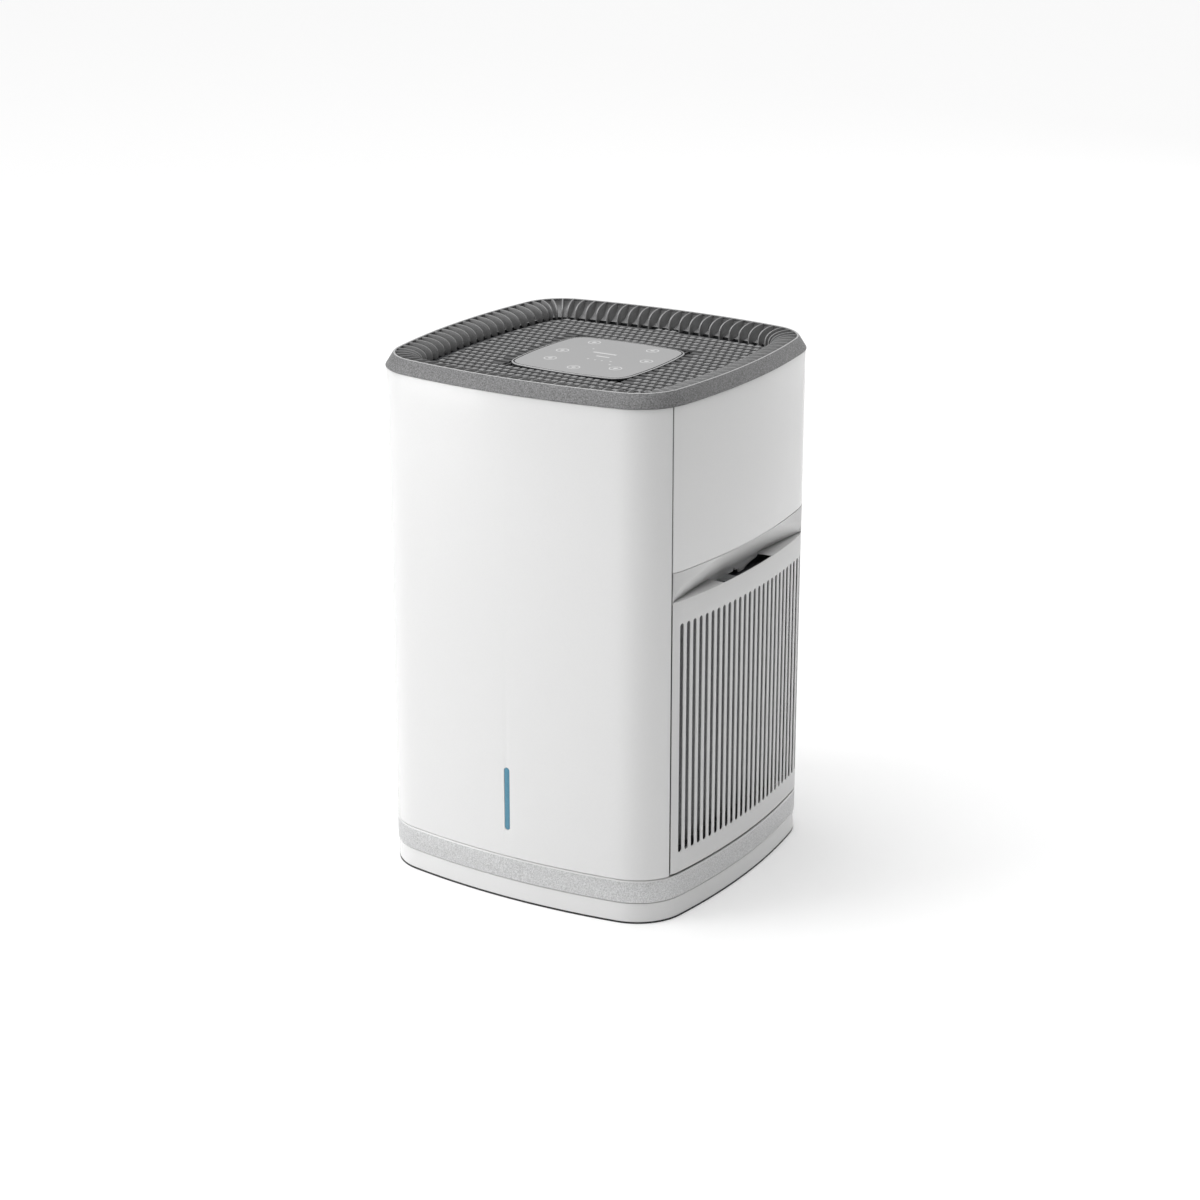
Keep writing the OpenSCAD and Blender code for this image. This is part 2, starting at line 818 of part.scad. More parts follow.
module level_sensor() {
    color("#26282b") block([-frame_wall_x + frame_wall_t + 0.1, 22, 86], [-frame_wall_x + 7, 38, 98]);
}

// ---------- electrics ----------
module light_guide() {
    color("#8fb8d8") intersection() {
        slab(strip_low - 1, strip_high + 1, 0.05);
        translate([0, -half_d + 2, 0]) upright_slot(strip_w, strip_low, strip_high, 5);
    }
}

module light_board() {
    color("#2f6b45") {
        block([-6, -97.6, 42], [6, -96, 88]);
        for (i = [0 : 4]) block([-1.5, -98.6, 47.5 + 8 * i], [1.5, -97.6 + eps, 50.5 + 8 * i]);
    }
}

module power_board() {
    low = 11;
    high = 12.6;
    color("#2f6b45") {
        block([-60, -60, low], [60, 10, high]);
        for (x = [-45, -15, 15]) translate([x, -42, 0]) rod(6, high - eps, 25);
        block([20, -30, high - eps], [50, 0, 24]);
        for (sx = [-1, 1], y = [-55, 5]) translate([sx * 55, y, 0]) rod(3, plinth_floor, low + eps);
    }
}

jack_x = 55;
jack_z = 130;
jack_face = 99.4;
jack_hole_r = 2.75;
jack_r = 5.2;

module power_jack() {
    color("#232427") translate([jack_x, 0, jack_z]) rotate([-90, 0, 0]) difference() {
        union() {
            rod(jack_r, seam_y - 0.5, jack_face);
            rod(jack_r + 2.8, seam_y - 0.5, 90);
        }
        rod(jack_hole_r, 84, jack_face + 1);
    }
}

module humidity_sensor() {
    color("#f0f0ee") block([frame_wall_x - 6.8, 66, 150], [frame_wall_x - 2.6, 74, 162]);
}

rubber_feet();
base_plinth();
trim_band();
base_deck();
inner_frame();
mid_deck();
fan_deck();
front_shell();
rear_shell();
upper_panel_right();
upper_panel_left();
finger_scoop_right();
finger_scoop_left();
filter_door_right();
filter_door_left();
door_pin_right();
door_pin_left();
filter_frame_right();
filter_frame_left();
filter_media_right();
filter_media_left();
door_catch_right();
door_catch_left();
top_ring();
outlet_bowl();
vent_ribs();
top_grille();
touch_panel();
control_housing();
control_board();
fan_shroud();
motor_bracket();
bracket_screws();
fan_motor();
motor_shaft();
fan_impeller();
hot_sink_right();
hot_sink_left();
peltier_right();
peltier_left();
cold_sink_right();
cold_sink_left();
sink_bracket();
drip_tray();
water_tank();
tank_lid();
tank_fascia();
tank_float();
level_sensor();
light_guide();
light_board();
power_board();
power_jack();
humidity_sensor();
base_screws();
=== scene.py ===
import bpy
import json
import math
from mathutils import Matrix, Vector


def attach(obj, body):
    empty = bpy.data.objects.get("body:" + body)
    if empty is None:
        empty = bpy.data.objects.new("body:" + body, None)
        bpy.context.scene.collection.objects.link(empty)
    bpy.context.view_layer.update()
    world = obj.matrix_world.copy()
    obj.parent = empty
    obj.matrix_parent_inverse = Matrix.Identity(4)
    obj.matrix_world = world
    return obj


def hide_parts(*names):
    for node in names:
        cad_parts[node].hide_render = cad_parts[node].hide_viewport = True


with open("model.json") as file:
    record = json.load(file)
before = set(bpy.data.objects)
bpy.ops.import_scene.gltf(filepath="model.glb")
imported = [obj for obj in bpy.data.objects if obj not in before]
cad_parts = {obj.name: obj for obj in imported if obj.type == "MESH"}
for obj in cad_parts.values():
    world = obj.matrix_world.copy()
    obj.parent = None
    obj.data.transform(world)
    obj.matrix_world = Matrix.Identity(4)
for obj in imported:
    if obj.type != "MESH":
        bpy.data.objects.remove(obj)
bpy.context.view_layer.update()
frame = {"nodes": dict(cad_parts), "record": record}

nodes = frame["nodes"]
mm = 0.001

# the tower's main sizes, in millimetres; the front is -Y and the right side is +X
tower = {
    "shape": (105.0, 103.6, 436.7, 33.4),   # half width, half depth, bow radius, corner radius
    "wall": 2.4,
    "seamY": 78.5,
    "seamGap": 0.9,
    "bandTop": 27.7,
    "doorTop": 196.7,
    "lipZ": 214.5,
    "rimTop": 319.2,
    "ledgeMiddle": 92.6,
    "ledgeSpread": 3.6,
    "sideSteps": 52,
    "cornerSteps": 14,
    "settleSteps": 16,
}
shellEdgeY = tower["seamY"] + tower["seamGap"] / 2
sideEdgeY = tower["seamY"] - tower["seamGap"] / 2


# settles on the point from which the corner arc touches both bows
def cornerCentre(shape):
    halfWidth, halfDepth, bow, corner = shape
    reach = bow - corner
    x, y = halfWidth - corner, halfDepth - corner
    for step in range(tower["settleSteps"]):
        x, y = (halfWidth - bow + math.sqrt(reach ** 2 - y * y),
                halfDepth - bow + math.sqrt(reach ** 2 - x * x))
    return x, y


def outlineArcs(shape):
    halfWidth, halfDepth, bow, corner = shape
    cx, cy = cornerCentre(shape)
    turnX, turnY = math.asin(cy / (bow - corner)), math.asin(cx / (bow - corner))
    right = math.pi / 2
    bowSteps, turnSteps = tower["sideSteps"], tower["cornerSteps"]
    return [
        ((halfWidth - bow, 0), bow, -turnX, turnX, bowSteps),
        ((cx, cy), corner, turnX, right - turnY, turnSteps),
        ((0, halfDepth - bow), bow, right - turnY, right + turnY, bowSteps),
        ((-cx, cy), corner, right + turnY, 2 * right - turnX, turnSteps),
        ((bow - halfWidth, 0), bow, 2 * right - turnX, 2 * right + turnX, bowSteps),
        ((-cx, -cy), corner, 2 * right + turnX, 3 * right - turnY, turnSteps),
        ((0, bow - halfDepth), bow, 3 * right - turnY, 3 * right + turnY, bowSteps),
        ((cx, -cy), corner, 3 * right + turnY, 4 * right - turnX, turnSteps),
    ]


def outline(shape, inset):
    points = []
    for centre, radius, start, end, steps in outlineArcs(shape):
        for step in range(steps):
            angle = start + (end - start) * step / steps
            points.append((centre[0] + (radius - inset) * math.cos(angle),
                           centre[1] + (radius - inset) * math.sin(angle)))
    return points


def sideX(y, inset=0.0):
    halfWidth, halfDepth, bow, corner = tower["shape"]
    cx, cy = cornerCentre(tower["shape"])
    bowEnd = (bow - inset) * cy / (bow - corner)
    if abs(y) < bowEnd:
        return halfWidth - bow + math.sqrt((bow - inset) ** 2 - y * y)
    return cx + math.sqrt(max((corner - inset) ** 2 - (abs(y) - cy) ** 2, 0))


def ledgeX(y):
    return tower["ledgeMiddle"] + tower["ledgeSpread"] * (y / tower["seamY"]) ** 2


def activate(piece):
    if bpy.context.mode != "OBJECT":
        bpy.ops.object.mode_set(mode="OBJECT")
    bpy.ops.object.select_all(action="DESELECT")
    piece.select_set(True)
    bpy.context.view_layer.objects.active = piece


def edit(piece, select="SELECT"):
    activate(piece)
    bpy.ops.object.mode_set(mode="EDIT")
    bpy.ops.mesh.select_mode(type="VERT")
    bpy.ops.mesh.select_all(action=select)


def done():
    bpy.ops.object.mode_set(mode="OBJECT")


def selectWhere(piece, test):
    edit(piece, "DESELECT")
    done()
    for vertex in piece.data.vertices:
        vertex.select = test(vertex.co)
    bpy.ops.object.mode_set(mode="EDIT")
    bpy.ops.mesh.select_mode(type="VERT")


def deleteFaces(piece, test):
    edit(piece, "DESELECT")
    done()
    for face in piece.data.polygons:
        face.select = test(face)
    bpy.ops.object.mode_set(mode="EDIT")
    bpy.ops.mesh.select_mode(type="FACE")
    bpy.ops.mesh.delete(type="FACE")
    done()


def started(name):
    piece = bpy.context.active_object
    piece.name = name
    piece.data.name = name
    return piece


def placed(piece):
    activate(piece)
    bpy.ops.object.transform_apply(location=True, rotation=True, scale=True)
    return piece


def addBox(name, low, high):
    bpy.ops.object.select_all(action="DESELECT")
    centre = [(a + b) / 2 * mm for a, b in zip(low, high)]
    bpy.ops.mesh.primitive_cube_add(size=1, location=centre)
    piece = started(name)
    piece.scale = [(b - a) * mm for a, b in zip(low, high)]
    return placed(piece)


# block whose upright edges are rounded
def roundedBlock(name, low, high, radius):
    block = addBox(name, low, high)
    edit(block, "DESELECT")
    bpy.ops.mesh.select_mode(type="EDGE")
    done()
    points = block.data.vertices
    for side in block.data.edges:
        start, end = (points[index].co for index in side.vertices)
        side.select = abs(start.z - end.z) > 1e-6
    bpy.ops.object.mode_set(mode="EDIT")
    bpy.ops.mesh.bevel(offset=radius * mm, segments=8, affect="EDGES")
    done()
    return block


def addRod(name, place, radius, low, high, vertices=32):
    x, y = place
    bpy.ops.object.select_all(action="DESELECT")
    bpy.ops.mesh.primitive_cylinder_add(vertices=vertices, radius=radius * mm, depth=(high - low) * mm,
                                        location=(x * mm, y * mm, (low + high) / 2 * mm))
    return placed(started(name))


def finishMesh(piece, recalculate=True):
    edit(piece)
    bpy.ops.mesh.remove_doubles(threshold=0.000002)
    if recalculate:
        bpy.ops.mesh.normals_make_consistent(inside=False)
    done()


def modify(piece, kind, **settings):
    activate(piece)
    modifier = piece.modifiers.new(kind.title(), kind)
    for key, value in settings.items():
        setattr(modifier, key, value)
    bpy.ops.object.modifier_apply(modifier=modifier.name)


def bevelEdges(piece, width, segments=2, angle=35):
    modify(piece, "BEVEL", width=width * mm, segments=segments, limit_method="ANGLE",
           angle_limit=math.radians(angle), use_clamp_overlap=True, harden_normals=False)


def smooth(piece, angle=35):
    activate(piece)
    bpy.ops.object.shade_smooth_by_angle(angle=math.radians(angle))


# cuts off what lies beyond the plane and closes the cut
def cutAway(piece, point, normal):
    edit(piece)
    bpy.ops.mesh.bisect(plane_co=[v * mm for v in point], plane_no=normal, use_fill=True,
                        clear_outer=True, clear_inner=False, threshold=0.000001)
    done()


def subtract(piece, cutter):
    modify(piece, "BOOLEAN", operation="DIFFERENCE", object=cutter, solver="EXACT")
    bpy.data.objects.remove(cutter)


def joinAll(name, parts):
    activate(parts[0])
    for part in parts:
        part.select_set(True)
    bpy.ops.object.join()
    return started(name)


def copyMoved(source, matrix, name="copy"):
    copied = bpy.data.objects.new(name, source.data.copy())
    copied.data.transform(matrix)
    if matrix.is_negative:
        copied.data.flip_normals()
    bpy.context.scene.collection.objects.link(copied)
    return copied


def mirrored(source, name):
    return copyMoved(source, Matrix.Scale(-1, 4, Vector((1, 0, 0))), name)


# extrudes the selected loop and sets each new point by where its old one was
def extrudeLoop(piece, previous, following):
    bpy.ops.object.mode_set(mode="EDIT")
    bpy.ops.mesh.extrude_edges_move()
    bpy.ops.object.mode_set(mode="OBJECT")
    lookup = {tuple(round(v, 6) for v in place): i for i, place in enumerate(previous)}
    for vertex in piece.data.vertices:
        if vertex.select:
            vertex.co = following[lookup[tuple(round(v, 6) for v in vertex.co)]]


# carries a section of (inset, height) points round the outline; an open section gets a flat cap at each end
def sweepOutline(name, shape, section, closed=True):
    loops = [[(x * mm, y * mm, z * mm) for x, y in outline(shape, inset)] for inset, z in section]
    if closed:
        loops.append(loops[0])
    bpy.ops.object.select_all(action="DESELECT")
    bpy.ops.mesh.primitive_circle_add(vertices=len(loops[0]), radius=0.1)
    piece = started(name)
    for vertex, place in zip(piece.data.vertices, loops[0]):
        vertex.co = place
    exact = [tuple(vertex.co) for vertex in piece.data.vertices]
    for following in loops[1:]:
        extrudeLoop(piece, exact, following)
        exact = [tuple(Vector(place)) for place in following]
    if not closed:
        count, total = len(loops[0]), len(piece.data.vertices)
        for chosen in (range(count), range(total - count, total)):
            edit(piece, "DESELECT")
            done()
            for index in chosen:
                piece.data.vertices[index].select = True
            bpy.ops.object.mode_set(mode="EDIT")
            bpy.ops.mesh.edge_face_add()
            done()
    finishMesh(piece)
    return piece


# a sheet of columns by rows, each corner placed by place(u, v), in millimetres
def gridSheet(name, columns, rows, place):
    bpy.ops.object.select_all(action="DESELECT")
    bpy.ops.mesh.primitive_grid_add(x_subdivisions=columns, y_subdivisions=rows, size=2)
    piece = started(name)
    for vertex in piece.data.vertices:
        u, v = (vertex.co.x + 1) / 2, (vertex.co.y + 1) / 2
        vertex.co = [value * mm for value in place(u, v)]
    return piece


# round-ended prism, deep along Y: long along Z and placed by X when upright, else the other way round
def slotPrism(name, width, low, high, across, y, depth, upright=True, corners=20):
    bpy.ops.object.select_all(action="DESELECT")
    bpy.ops.mesh.primitive_circle_add(vertices=corners, radius=width / 2 * mm, fill_type="NGON",
                                      rotation=(math.pi / 2, 0, 0))
    piece = placed(started(name))
    for vertex in piece.data.vertices:
        longway = vertex.co.z if upright else vertex.co.x
        shift = (high - width / 2) * mm if longway > -1e-7 else (low + width / 2) * mm
        if upright:
            vertex.co.z += shift
            vertex.co.x += across * mm
        else:
            vertex.co.x += shift
            vertex.co.z += across * mm
        vertex.co.y = (y - depth / 2) * mm
    edit(piece)
    bpy.ops.mesh.extrude_region_move(TRANSFORM_OT_translate={"value": (0, depth * mm, 0)})
    done()
    finishMesh(piece)
    return piece


def wallRing(name, low, high, inset=0.0, thick=tower["wall"]):
    return sweepOutline(name, tower["shape"], [(inset, low), (inset, high), (inset + thick, high),
                                               (inset + thick, low)])


def finish(piece, body, slotName, material, *replaced):
    piece.data.materials.clear()
    piece.data.materials.append(material)
    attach(piece, body)
    if replaced:
        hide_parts(*replaced)


# gives the chosen faces a second material
def accent(piece, material, test):
    piece.data.materials.append(material)
    for face in piece.data.polygons:
        if test(face):
            face.material_index = 1


# moulded or coated surface: a fine grain for bump and tone, and a broad drift for gloss
def surface(name, colour, roughness, grainScale=1500, grainBump=0.02, tone=0.03, metallic=0.0,
            coat=0.0, drift=0.05, detail=2.0, stretch=(1, 1, 1)):
    material = bpy.data.materials.new(name)
    material.use_nodes = True
    tree = material.node_tree
    shader = tree.nodes["Principled BSDF"]
    shader.inputs["Metallic"].default_value = metallic
    shader.inputs["Coat Weight"].default_value = coat
    shader.inputs["Coat Roughness"].default_value = 0.08
    coords = tree.nodes.new("ShaderNodeTexCoord")
    mapping = tree.nodes.new("ShaderNodeMapping")
    mapping.inputs["Scale"].default_value = stretch
    tree.links.new(coords.outputs["Object"], mapping.inputs["Vector"])
    grain = tree.nodes.new("ShaderNodeTexNoise")
    grain.inputs["Scale"].default_value = grainScale
    grain.inputs["Detail"].default_value = detail
    broad = tree.nodes.new("ShaderNodeTexNoise")
    broad.inputs["Scale"].default_value = 18
    for noise in (grain, broad):
        tree.links.new(mapping.outputs["Vector"], noise.inputs["Vector"])
    ramp = tree.nodes.new("ShaderNodeValToRGB")
    ramp.color_ramp.elements[0].position = 0.3
    ramp.color_ramp.elements[1].position = 0.7
    ramp.color_ramp.elements[0].color = [c * (1 - tone) for c in colour] + [1]
    ramp.color_ramp.elements[1].color = [min(c * (1 + tone), 1) for c in colour] + [1]
    tree.links.new(grain.outputs["Fac"], ramp.inputs["Fac"])
    tree.links.new(ramp.outputs["Color"], shader.inputs["Base Color"])
    gloss = tree.nodes.new("ShaderNodeMapRange")
    gloss.inputs["To Min"].default_value = roughness - drift / 2
    gloss.inputs["To Max"].default_value = roughness + drift / 2
    tree.links.new(broad.outputs["Fac"], gloss.inputs["Value"])
    tree.links.new(gloss.outputs["Result"], shader.inputs["Roughness"])
    bump = tree.nodes.new("ShaderNodeBump")
    bump.inputs["Strength"].default_value = grainBump
    bump.inputs["Distance"].default_value = 0.0004
    tree.links.new(grain.outputs["Fac"], bump.inputs["Height"])
    tree.links.new(bump.outputs["Normal"], shader.inputs["Normal"])
    return material


whiteGloss = surface("whiteGloss", (0.80, 0.80, 0.798), 0.26, 900, 0.01, 0.006, coat=0.25)
whiteSatin = surface("whiteSatin", (0.76, 0.76, 0.757), 0.38, 1400, 0.03, 0.01)
greyGrain = surface("greyGrain", (0.20, 0.20, 0.202), 0.52, 1250, 0.7, 0.45)
# painted highlight: a lighter grey for the top ring's upward-facing faces, standing in for the light line
# along the rim's top
rimEdge = surface("rimEdge", (0.58, 0.58, 0.582), 0.45, 1500, 0.3, 0.1)
# painted light: the ribs and the bowl are a lighter grey than the ring, lifting the shade in the deep ribbed
# cove
ribPaintedLight = surface("ribPaintedLight", (0.33, 0.33, 0.332), 0.42, 1500, 0.3, 0.12)
bowlPaintedLight = surface("bowlPaintedLight", (0.32, 0.32, 0.322), 0.5, 1500, 0.3, 0.12)
meshGrey = surface("meshGrey", (0.15, 0.15, 0.152), 0.45, 1700, 0.25, 0.12)
# painted highlight: a lighter copy of the mesh grey for the grille's raised pads
padPaintedHighlight = surface("padPaintedHighlight", (0.36, 0.36, 0.362), 0.4, 1700, 0.25, 0.12)
silverPaint = surface("silverPaint", (0.56, 0.563, 0.565), 0.3, 1300, 0.5, 0.2, metallic=0.5, detail=1.0)
# painted shade: a darker white for the finger recesses and the ledges' tops, standing in for the shade under
# the lip
recessPaintedShade = surface("recessPaintedShade", (0.67, 0.67, 0.668), 0.4, 1400, 0.05, 0.02)
panelGrey = surface("panelGrey", (0.585, 0.585, 0.587), 0.3, 1200, 0.01, 0.01, coat=0.3)
panelMark = surface("panelMark", (0.82, 0.82, 0.82), 0.4, 1200, 0.01, 0.01)
blueLens = surface("blueLens", (0.07, 0.25, 0.36), 0.3, 700, 0.02, 0.06, coat=0.2)
blackRubber = surface("blackRubber", (0.025, 0.025, 0.026), 0.7, 2200, 0.3, 0.2)
darkPlastic = surface("darkPlastic", (0.05, 0.052, 0.056), 0.5, 1600, 0.2, 0.12)
filterFelt = surface("filterFelt", (0.32, 0.322, 0.33), 0.9, 2600, 0.7, 0.3, detail=5)
brightSteel = surface("brightSteel", (0.52, 0.53, 0.54), 0.28, 2400, 0.08, 0.06, metallic=1.0,
                      stretch=(1, 1, 0.05))
sinkAluminium = surface("sinkAluminium", (0.72, 0.73, 0.74), 0.34, 2200, 0.12, 0.05, metallic=1.0,
                        stretch=(1, 1, 0.03))
whiteCeramic = surface("whiteCeramic", (0.80, 0.79, 0.75), 0.45, 1800, 0.1, 0.03)
trayGrey = surface("trayGrey", (0.62, 0.64, 0.65), 0.4, 1400, 0.05, 0.02)
boardGreen = surface("boardGreen", (0.03, 0.14, 0.06), 0.4, 700, 0.1, 0.25)
tankClear = surface("tankClear", (0.55, 0.68, 0.75), 0.12, 900, 0.02, 0.02)
tankClear.node_tree.nodes["Principled BSDF"].inputs["Alpha"].default_value = 0.5
print("materials ready")

slotMaterials = {
    "white_shell": whiteGloss, "ring_grey": greyGrain, "mesh_grey": meshGrey, "satin_band": silverPaint,
    "panel_glass": panelGrey, "light_lens": blueLens, "rubber": blackRubber, "dark_plastic": darkPlastic,
    "filter_felt": filterFelt, "steel": brightSteel, "aluminium": sinkAluminium, "ceramic": whiteCeramic,
    "fan_white": whiteSatin, "tray_grey": trayGrey, "tank_clear": tankClear, "circuit_board": boardGreen,
}
for part in frame["record"]["subparts"]:
    node = nodes[part["node"]]
    node.data.materials.clear()
    node.data.materials.append(slotMaterials[part["material_slot"]])


# outer shells, each a seam's width from its neighbour
shells = {
    "low": 28.15, "high": 311.0, "edge": 0.2, "panelFrom": 60, "tankTop": 106.0,
    "windowWide": 3.8, "windowLow": 44.9, "windowHigh": 84.7, "cutterY": 102, "cutterDepth": 12,
}
vents = {"count": 10, "pitch": 6, "first": -27, "width": 2.4, "low": 226, "high": 250, "edge": 0.35}
powerHole = {"across": 11, "left": 49.5, "right": 60.5, "z": 130, "y": 99, "depth": 20}


def frontShell():
    shell = wallRing("frontShell", shells["low"], shells["high"])
    cutAway(shell, (0, -shellEdgeY, 0), (0, 1, 0))
    subtract(shell, slotPrism("window", shells["windowWide"], shells["windowLow"], shells["windowHigh"],
                              0, -shells["cutterY"], shells["cutterDepth"]))
    bevelEdges(shell, shells["edge"], 3)
    smooth(shell, 40)
    finish(shell, "housing", "white_shell", whiteGloss, "front_shell")


def rearShell():
    shell = wallRing("rearShell", shells["tankTop"], shells["high"])
    cutAway(shell, (0, shellEdgeY, 0), (0, -1, 0))
    for i in range(vents["count"]):
        x = vents["first"] + vents["pitch"] * i
        subtract(shell, slotPrism("vent", vents["width"], vents["low"], vents["high"], x,
                                  shells["cutterY"], shells["cutterDepth"]))
    subtract(shell, slotPrism("powerHole", powerHole["across"], powerHole["left"], powerHole["right"],
                              powerHole["z"], powerHole["y"], powerHole["depth"], upright=False,
                              corners=32))
    bevelEdges(shell, vents["edge"], 2)
    smooth(shell, 40)
    finish(shell, "housing", "white_shell", whiteGloss, "rear_shell")


def upperPanels():
    panel = wallRing("upperPanelRight", tower["lipZ"], shells["high"])
    cutAway(panel, (0, sideEdgeY, 0), (0, 1, 0))
    cutAway(panel, (0, -sideEdgeY, 0), (0, -1, 0))
    cutAway(panel, (shells["panelFrom"], 0, 0), (-1, 0, 0))
    bevelEdges(panel, shells["edge"], 3)
    smooth(panel, 40)
    left = mirrored(panel, "upperPanelLeft")
    finish(panel, "housing", "white_shell", whiteGloss, "upper_panel_right")
    finish(left, "housing", "white_shell", whiteGloss, "upper_panel_left")


# the tank's front wall, at the rear of the tower, with a cup behind the pull
fascia = {
    "gapBelow": 0.5, "gapAbove": 0.4, "edge": 0.6,
    "pullZ": 90, "pullWide": 16, "pullHalf": 30, "pullY": 100, "pullDepth": 16,
    "cupWide": 19, "cupHalf": 31.5, "cupWall": 1.4, "cupEdge": 0.3, "cupY": 95, "cupDepth": 12,
}


def tankFront():
    front = wallRing("tankFront", tower["bandTop"] + fascia["gapBelow"],
                     shells["tankTop"] - fascia["gapAbove"])
    cutAway(front, (0, shellEdgeY, 0), (0, -1, 0))
    subtract(front, slotPrism("pull", fascia["pullWide"], -fascia["pullHalf"], fascia["pullHalf"],
                              fascia["pullZ"], fascia["pullY"], fascia["pullDepth"], upright=False,
                              corners=32))
    bevelEdges(front, fascia["edge"], 3)
    smooth(front, 40)
    cup = slotPrism("cup", fascia["cupWide"], -fascia["cupHalf"], fascia["cupHalf"],
                    fascia["pullZ"], fascia["cupY"], fascia["cupDepth"], upright=False, corners=40)
    deleteFaces(cup, lambda face: face.normal.y > 0.9)
    modify(cup, "SOLIDIFY", thickness=fascia["cupWall"] * mm, offset=-1)
    bevelEdges(cup, fascia["cupEdge"], 2)
    smooth(cup, 40)
    finish(joinAll("tankFront", [front, cup]), "tank", "white_shell", whiteGloss, "tank_fascia")


tank = {
    "low": (-69, -72, 32.4), "high": (69, 86, 98), "round": 9, "wall": 2, "edge": 0.6,
    "post": (-44, 30), "postRadius": 3, "postLow": 1.5, "postHigh": 1,   # the float's post
}
lid = {"gap": 0.05, "top": 101, "edge": 0.35, "border": 8, "dish": 0.8, "dishRound": 6, "hole": 12}


def waterTank():
    box = roundedBlock("waterTank", tank["low"], tank["high"], tank["round"])
    deleteFaces(box, lambda face: face.normal.z > 0.9)
    modify(box, "SOLIDIFY", thickness=tank["wall"] * mm, offset=-1)
    bevelEdges(box, tank["edge"], 3, 50)
    post = addRod("post", tank["post"], tank["postRadius"], tank["low"][2] + tank["postLow"],
                  tank["high"][2] - tank["postHigh"])
    bevelEdges(post, tank["edge"], 2)
    box = joinAll("waterTank", [box, post])
    smooth(box, 35)
    finish(box, "tank", "tank_clear", tankClear, "water_tank")


def tankLid():
    left, front = tank["low"][:2]
    right, back, rim = tank["high"]
    border, cutterTop = lid["border"], lid["top"] + 9
    cover = roundedBlock("tankLid", (left, front, rim + lid["gap"]), (right, back, lid["top"]),
                         tank["round"])
    subtract(cover, roundedBlock("dish", (left + border, front + border, lid["top"] - lid["dish"]),
                                 (right - border, back - border, cutterTop), lid["dishRound"]))
    bevelEdges(cover, lid["edge"], 2)
    subtract(cover, addRod("hole", (0, 0), lid["hole"], rim - 2, cutterTop, 48))
    smooth(cover, 35)
    finish(cover, "tank", "tray_grey", trayGrey, "tank_lid")


# painted shade: dark strips fixed to the shells' edges, inside the four seams, stand in for the shade in the
# seam gaps
seamShadeFit = {"below": 0.3, "above": 0.2, "setBack": 0.35, "thick": 1.9, "inShell": 0.45, "past": 0.2}


def seamShadeStrips():
    strips = []
    for sign in (-1, 1):
        strip = wallRing("strip", shells["low"] + seamShadeFit["below"], shells["high"] - seamShadeFit["above"],
                         seamShadeFit["setBack"], seamShadeFit["thick"])
        cutAway(strip, (0, sign * (tower["seamY"] + seamShadeFit["inShell"]), 0), (0, sign, 0))
        cutAway(strip, (0, sign * (tower["seamY"] - seamShadeFit["past"]), 0), (0, -sign, 0))
        strips.append(strip)
    shadeStrips = joinAll("seamShadeStrips", strips)
    smooth(shadeStrips, 40)
    # painted shade: black strips in place of the shade inside the seams
    finish(shadeStrips, "housing", "rubber", blackRubber)


frontShell()
rearShell()
upperPanels()
tankFront()
seamShadeStrips()
waterTank()
tankLid()
print("shells and tank ready")


# base: sections are (inset, height) points
plinth = {
    "section": [(3.0, 3.6), (3.0, 13.0), (0.9, 13.0), (0.6, 12.7), (0.6, 1.6), (0.7, 1.2), (1.0, 1.0),
                (6.0, 1.0)],
    "footAt": 70, "footHole": 8.2, "footLow": -2.35, "footHigh": 1.65,
}
band = {
    "section": [(0.5, 13.4), (0.1, 13.6), (0.0, 13.9), (0.0, 26.7), (0.15, 27.2), (0.5, 27.55),
                (1.0, 27.65), (2.4, 27.65), (2.4, 13.4)],
}
# painted shadow: the dark ring under the plinth, in place of the contact shadow
shadowRing = {"section": [(0.62, 0.03), (0.62, 1.1), (2.6, 1.1), (2.6, 0.03)]}


def basePlinth():
    piece = sweepOutline("basePlinth", tower["shape"], plinth["section"], closed=False)
    for x in (-plinth["footAt"], plinth["footAt"]):
        for y in (-plinth["footAt"], plinth["footAt"]):
            subtract(piece, addRod("foot", (x, y), plinth["footHole"], plinth["footLow"],
                                   plinth["footHigh"]))
    smooth(piece, 40)
    finish(piece, "housing", "white_shell", whiteGloss, "base_plinth")


def trimBand():
    piece = sweepOutline("trimBand", tower["shape"], band["section"])
    smooth(piece, 30)
    finish(piece, "housing", "satin_band", silverPaint, "trim_band")
    # painted highlight: the band's upward-facing top chamfer gets the white shell material, standing in for
    # the bright line it catches
    accent(piece, whiteGloss, lambda face: face.normal.z > 0.25)


# painted shadow: a dark ring that closes the thin gap between the plinth and the floor, standing in for the
# contact shadow there
def baseShadowRing():
    piece = sweepOutline("baseShadowRing", tower["shape"], shadowRing["section"])
    smooth(piece, 40)
    finish(piece, "housing", "rubber", blackRubber)


basePlinth()
baseShadowRing()
trimBand()
print("base ready")


# light strip, set in the front shell's window
strip = {"width": 3.6, "low": 45.0, "high": 84.6, "y": -101.4, "depth": 4.2, "edge": 0.5}


def lightStrip():
    lens = slotPrism("lightStrip", strip["width"], strip["low"], strip["high"], 0,
                     strip["y"], strip["depth"], corners=32)
    bevelEdges(lens, strip["edge"], 3)
    smooth(lens, 50)
    finish(lens, "housing", "light_lens", blueLens, "light_guide")


lightStrip()
print("light strip ready")


# side doors
door = {
    "slots": 26, "pitch": 5.84, "shift": 1.9, "slotWidth": 3.1, "slotLow": 41.5, "slotHigh": 183.0,
    "bottom": 28.6, "footRow": 0.8, "footInset": 0.75, "headRow": 8, "skin": 0.6, "edge": 0.12,
    "cutFront": -30.0, "cutBack": 28.0,
    # hinge lug, lower clip and upper clip: inner x, outer x, y, half length, low, high
    "fittings": [(99.9, 103.9, 12, 3, 29.6, 33.4), (94.1, 100.1, 58, 4, 34, 38),
                 (94.1, 100.1, 58, 4, 184, 189)],
    "fittingEdge": 0.6,
}


def extrudeSelected(shift):
    bpy.ops.mesh.extrude_edges_move(TRANSFORM_OT_translate={"value": [v * mm for v in shift]})


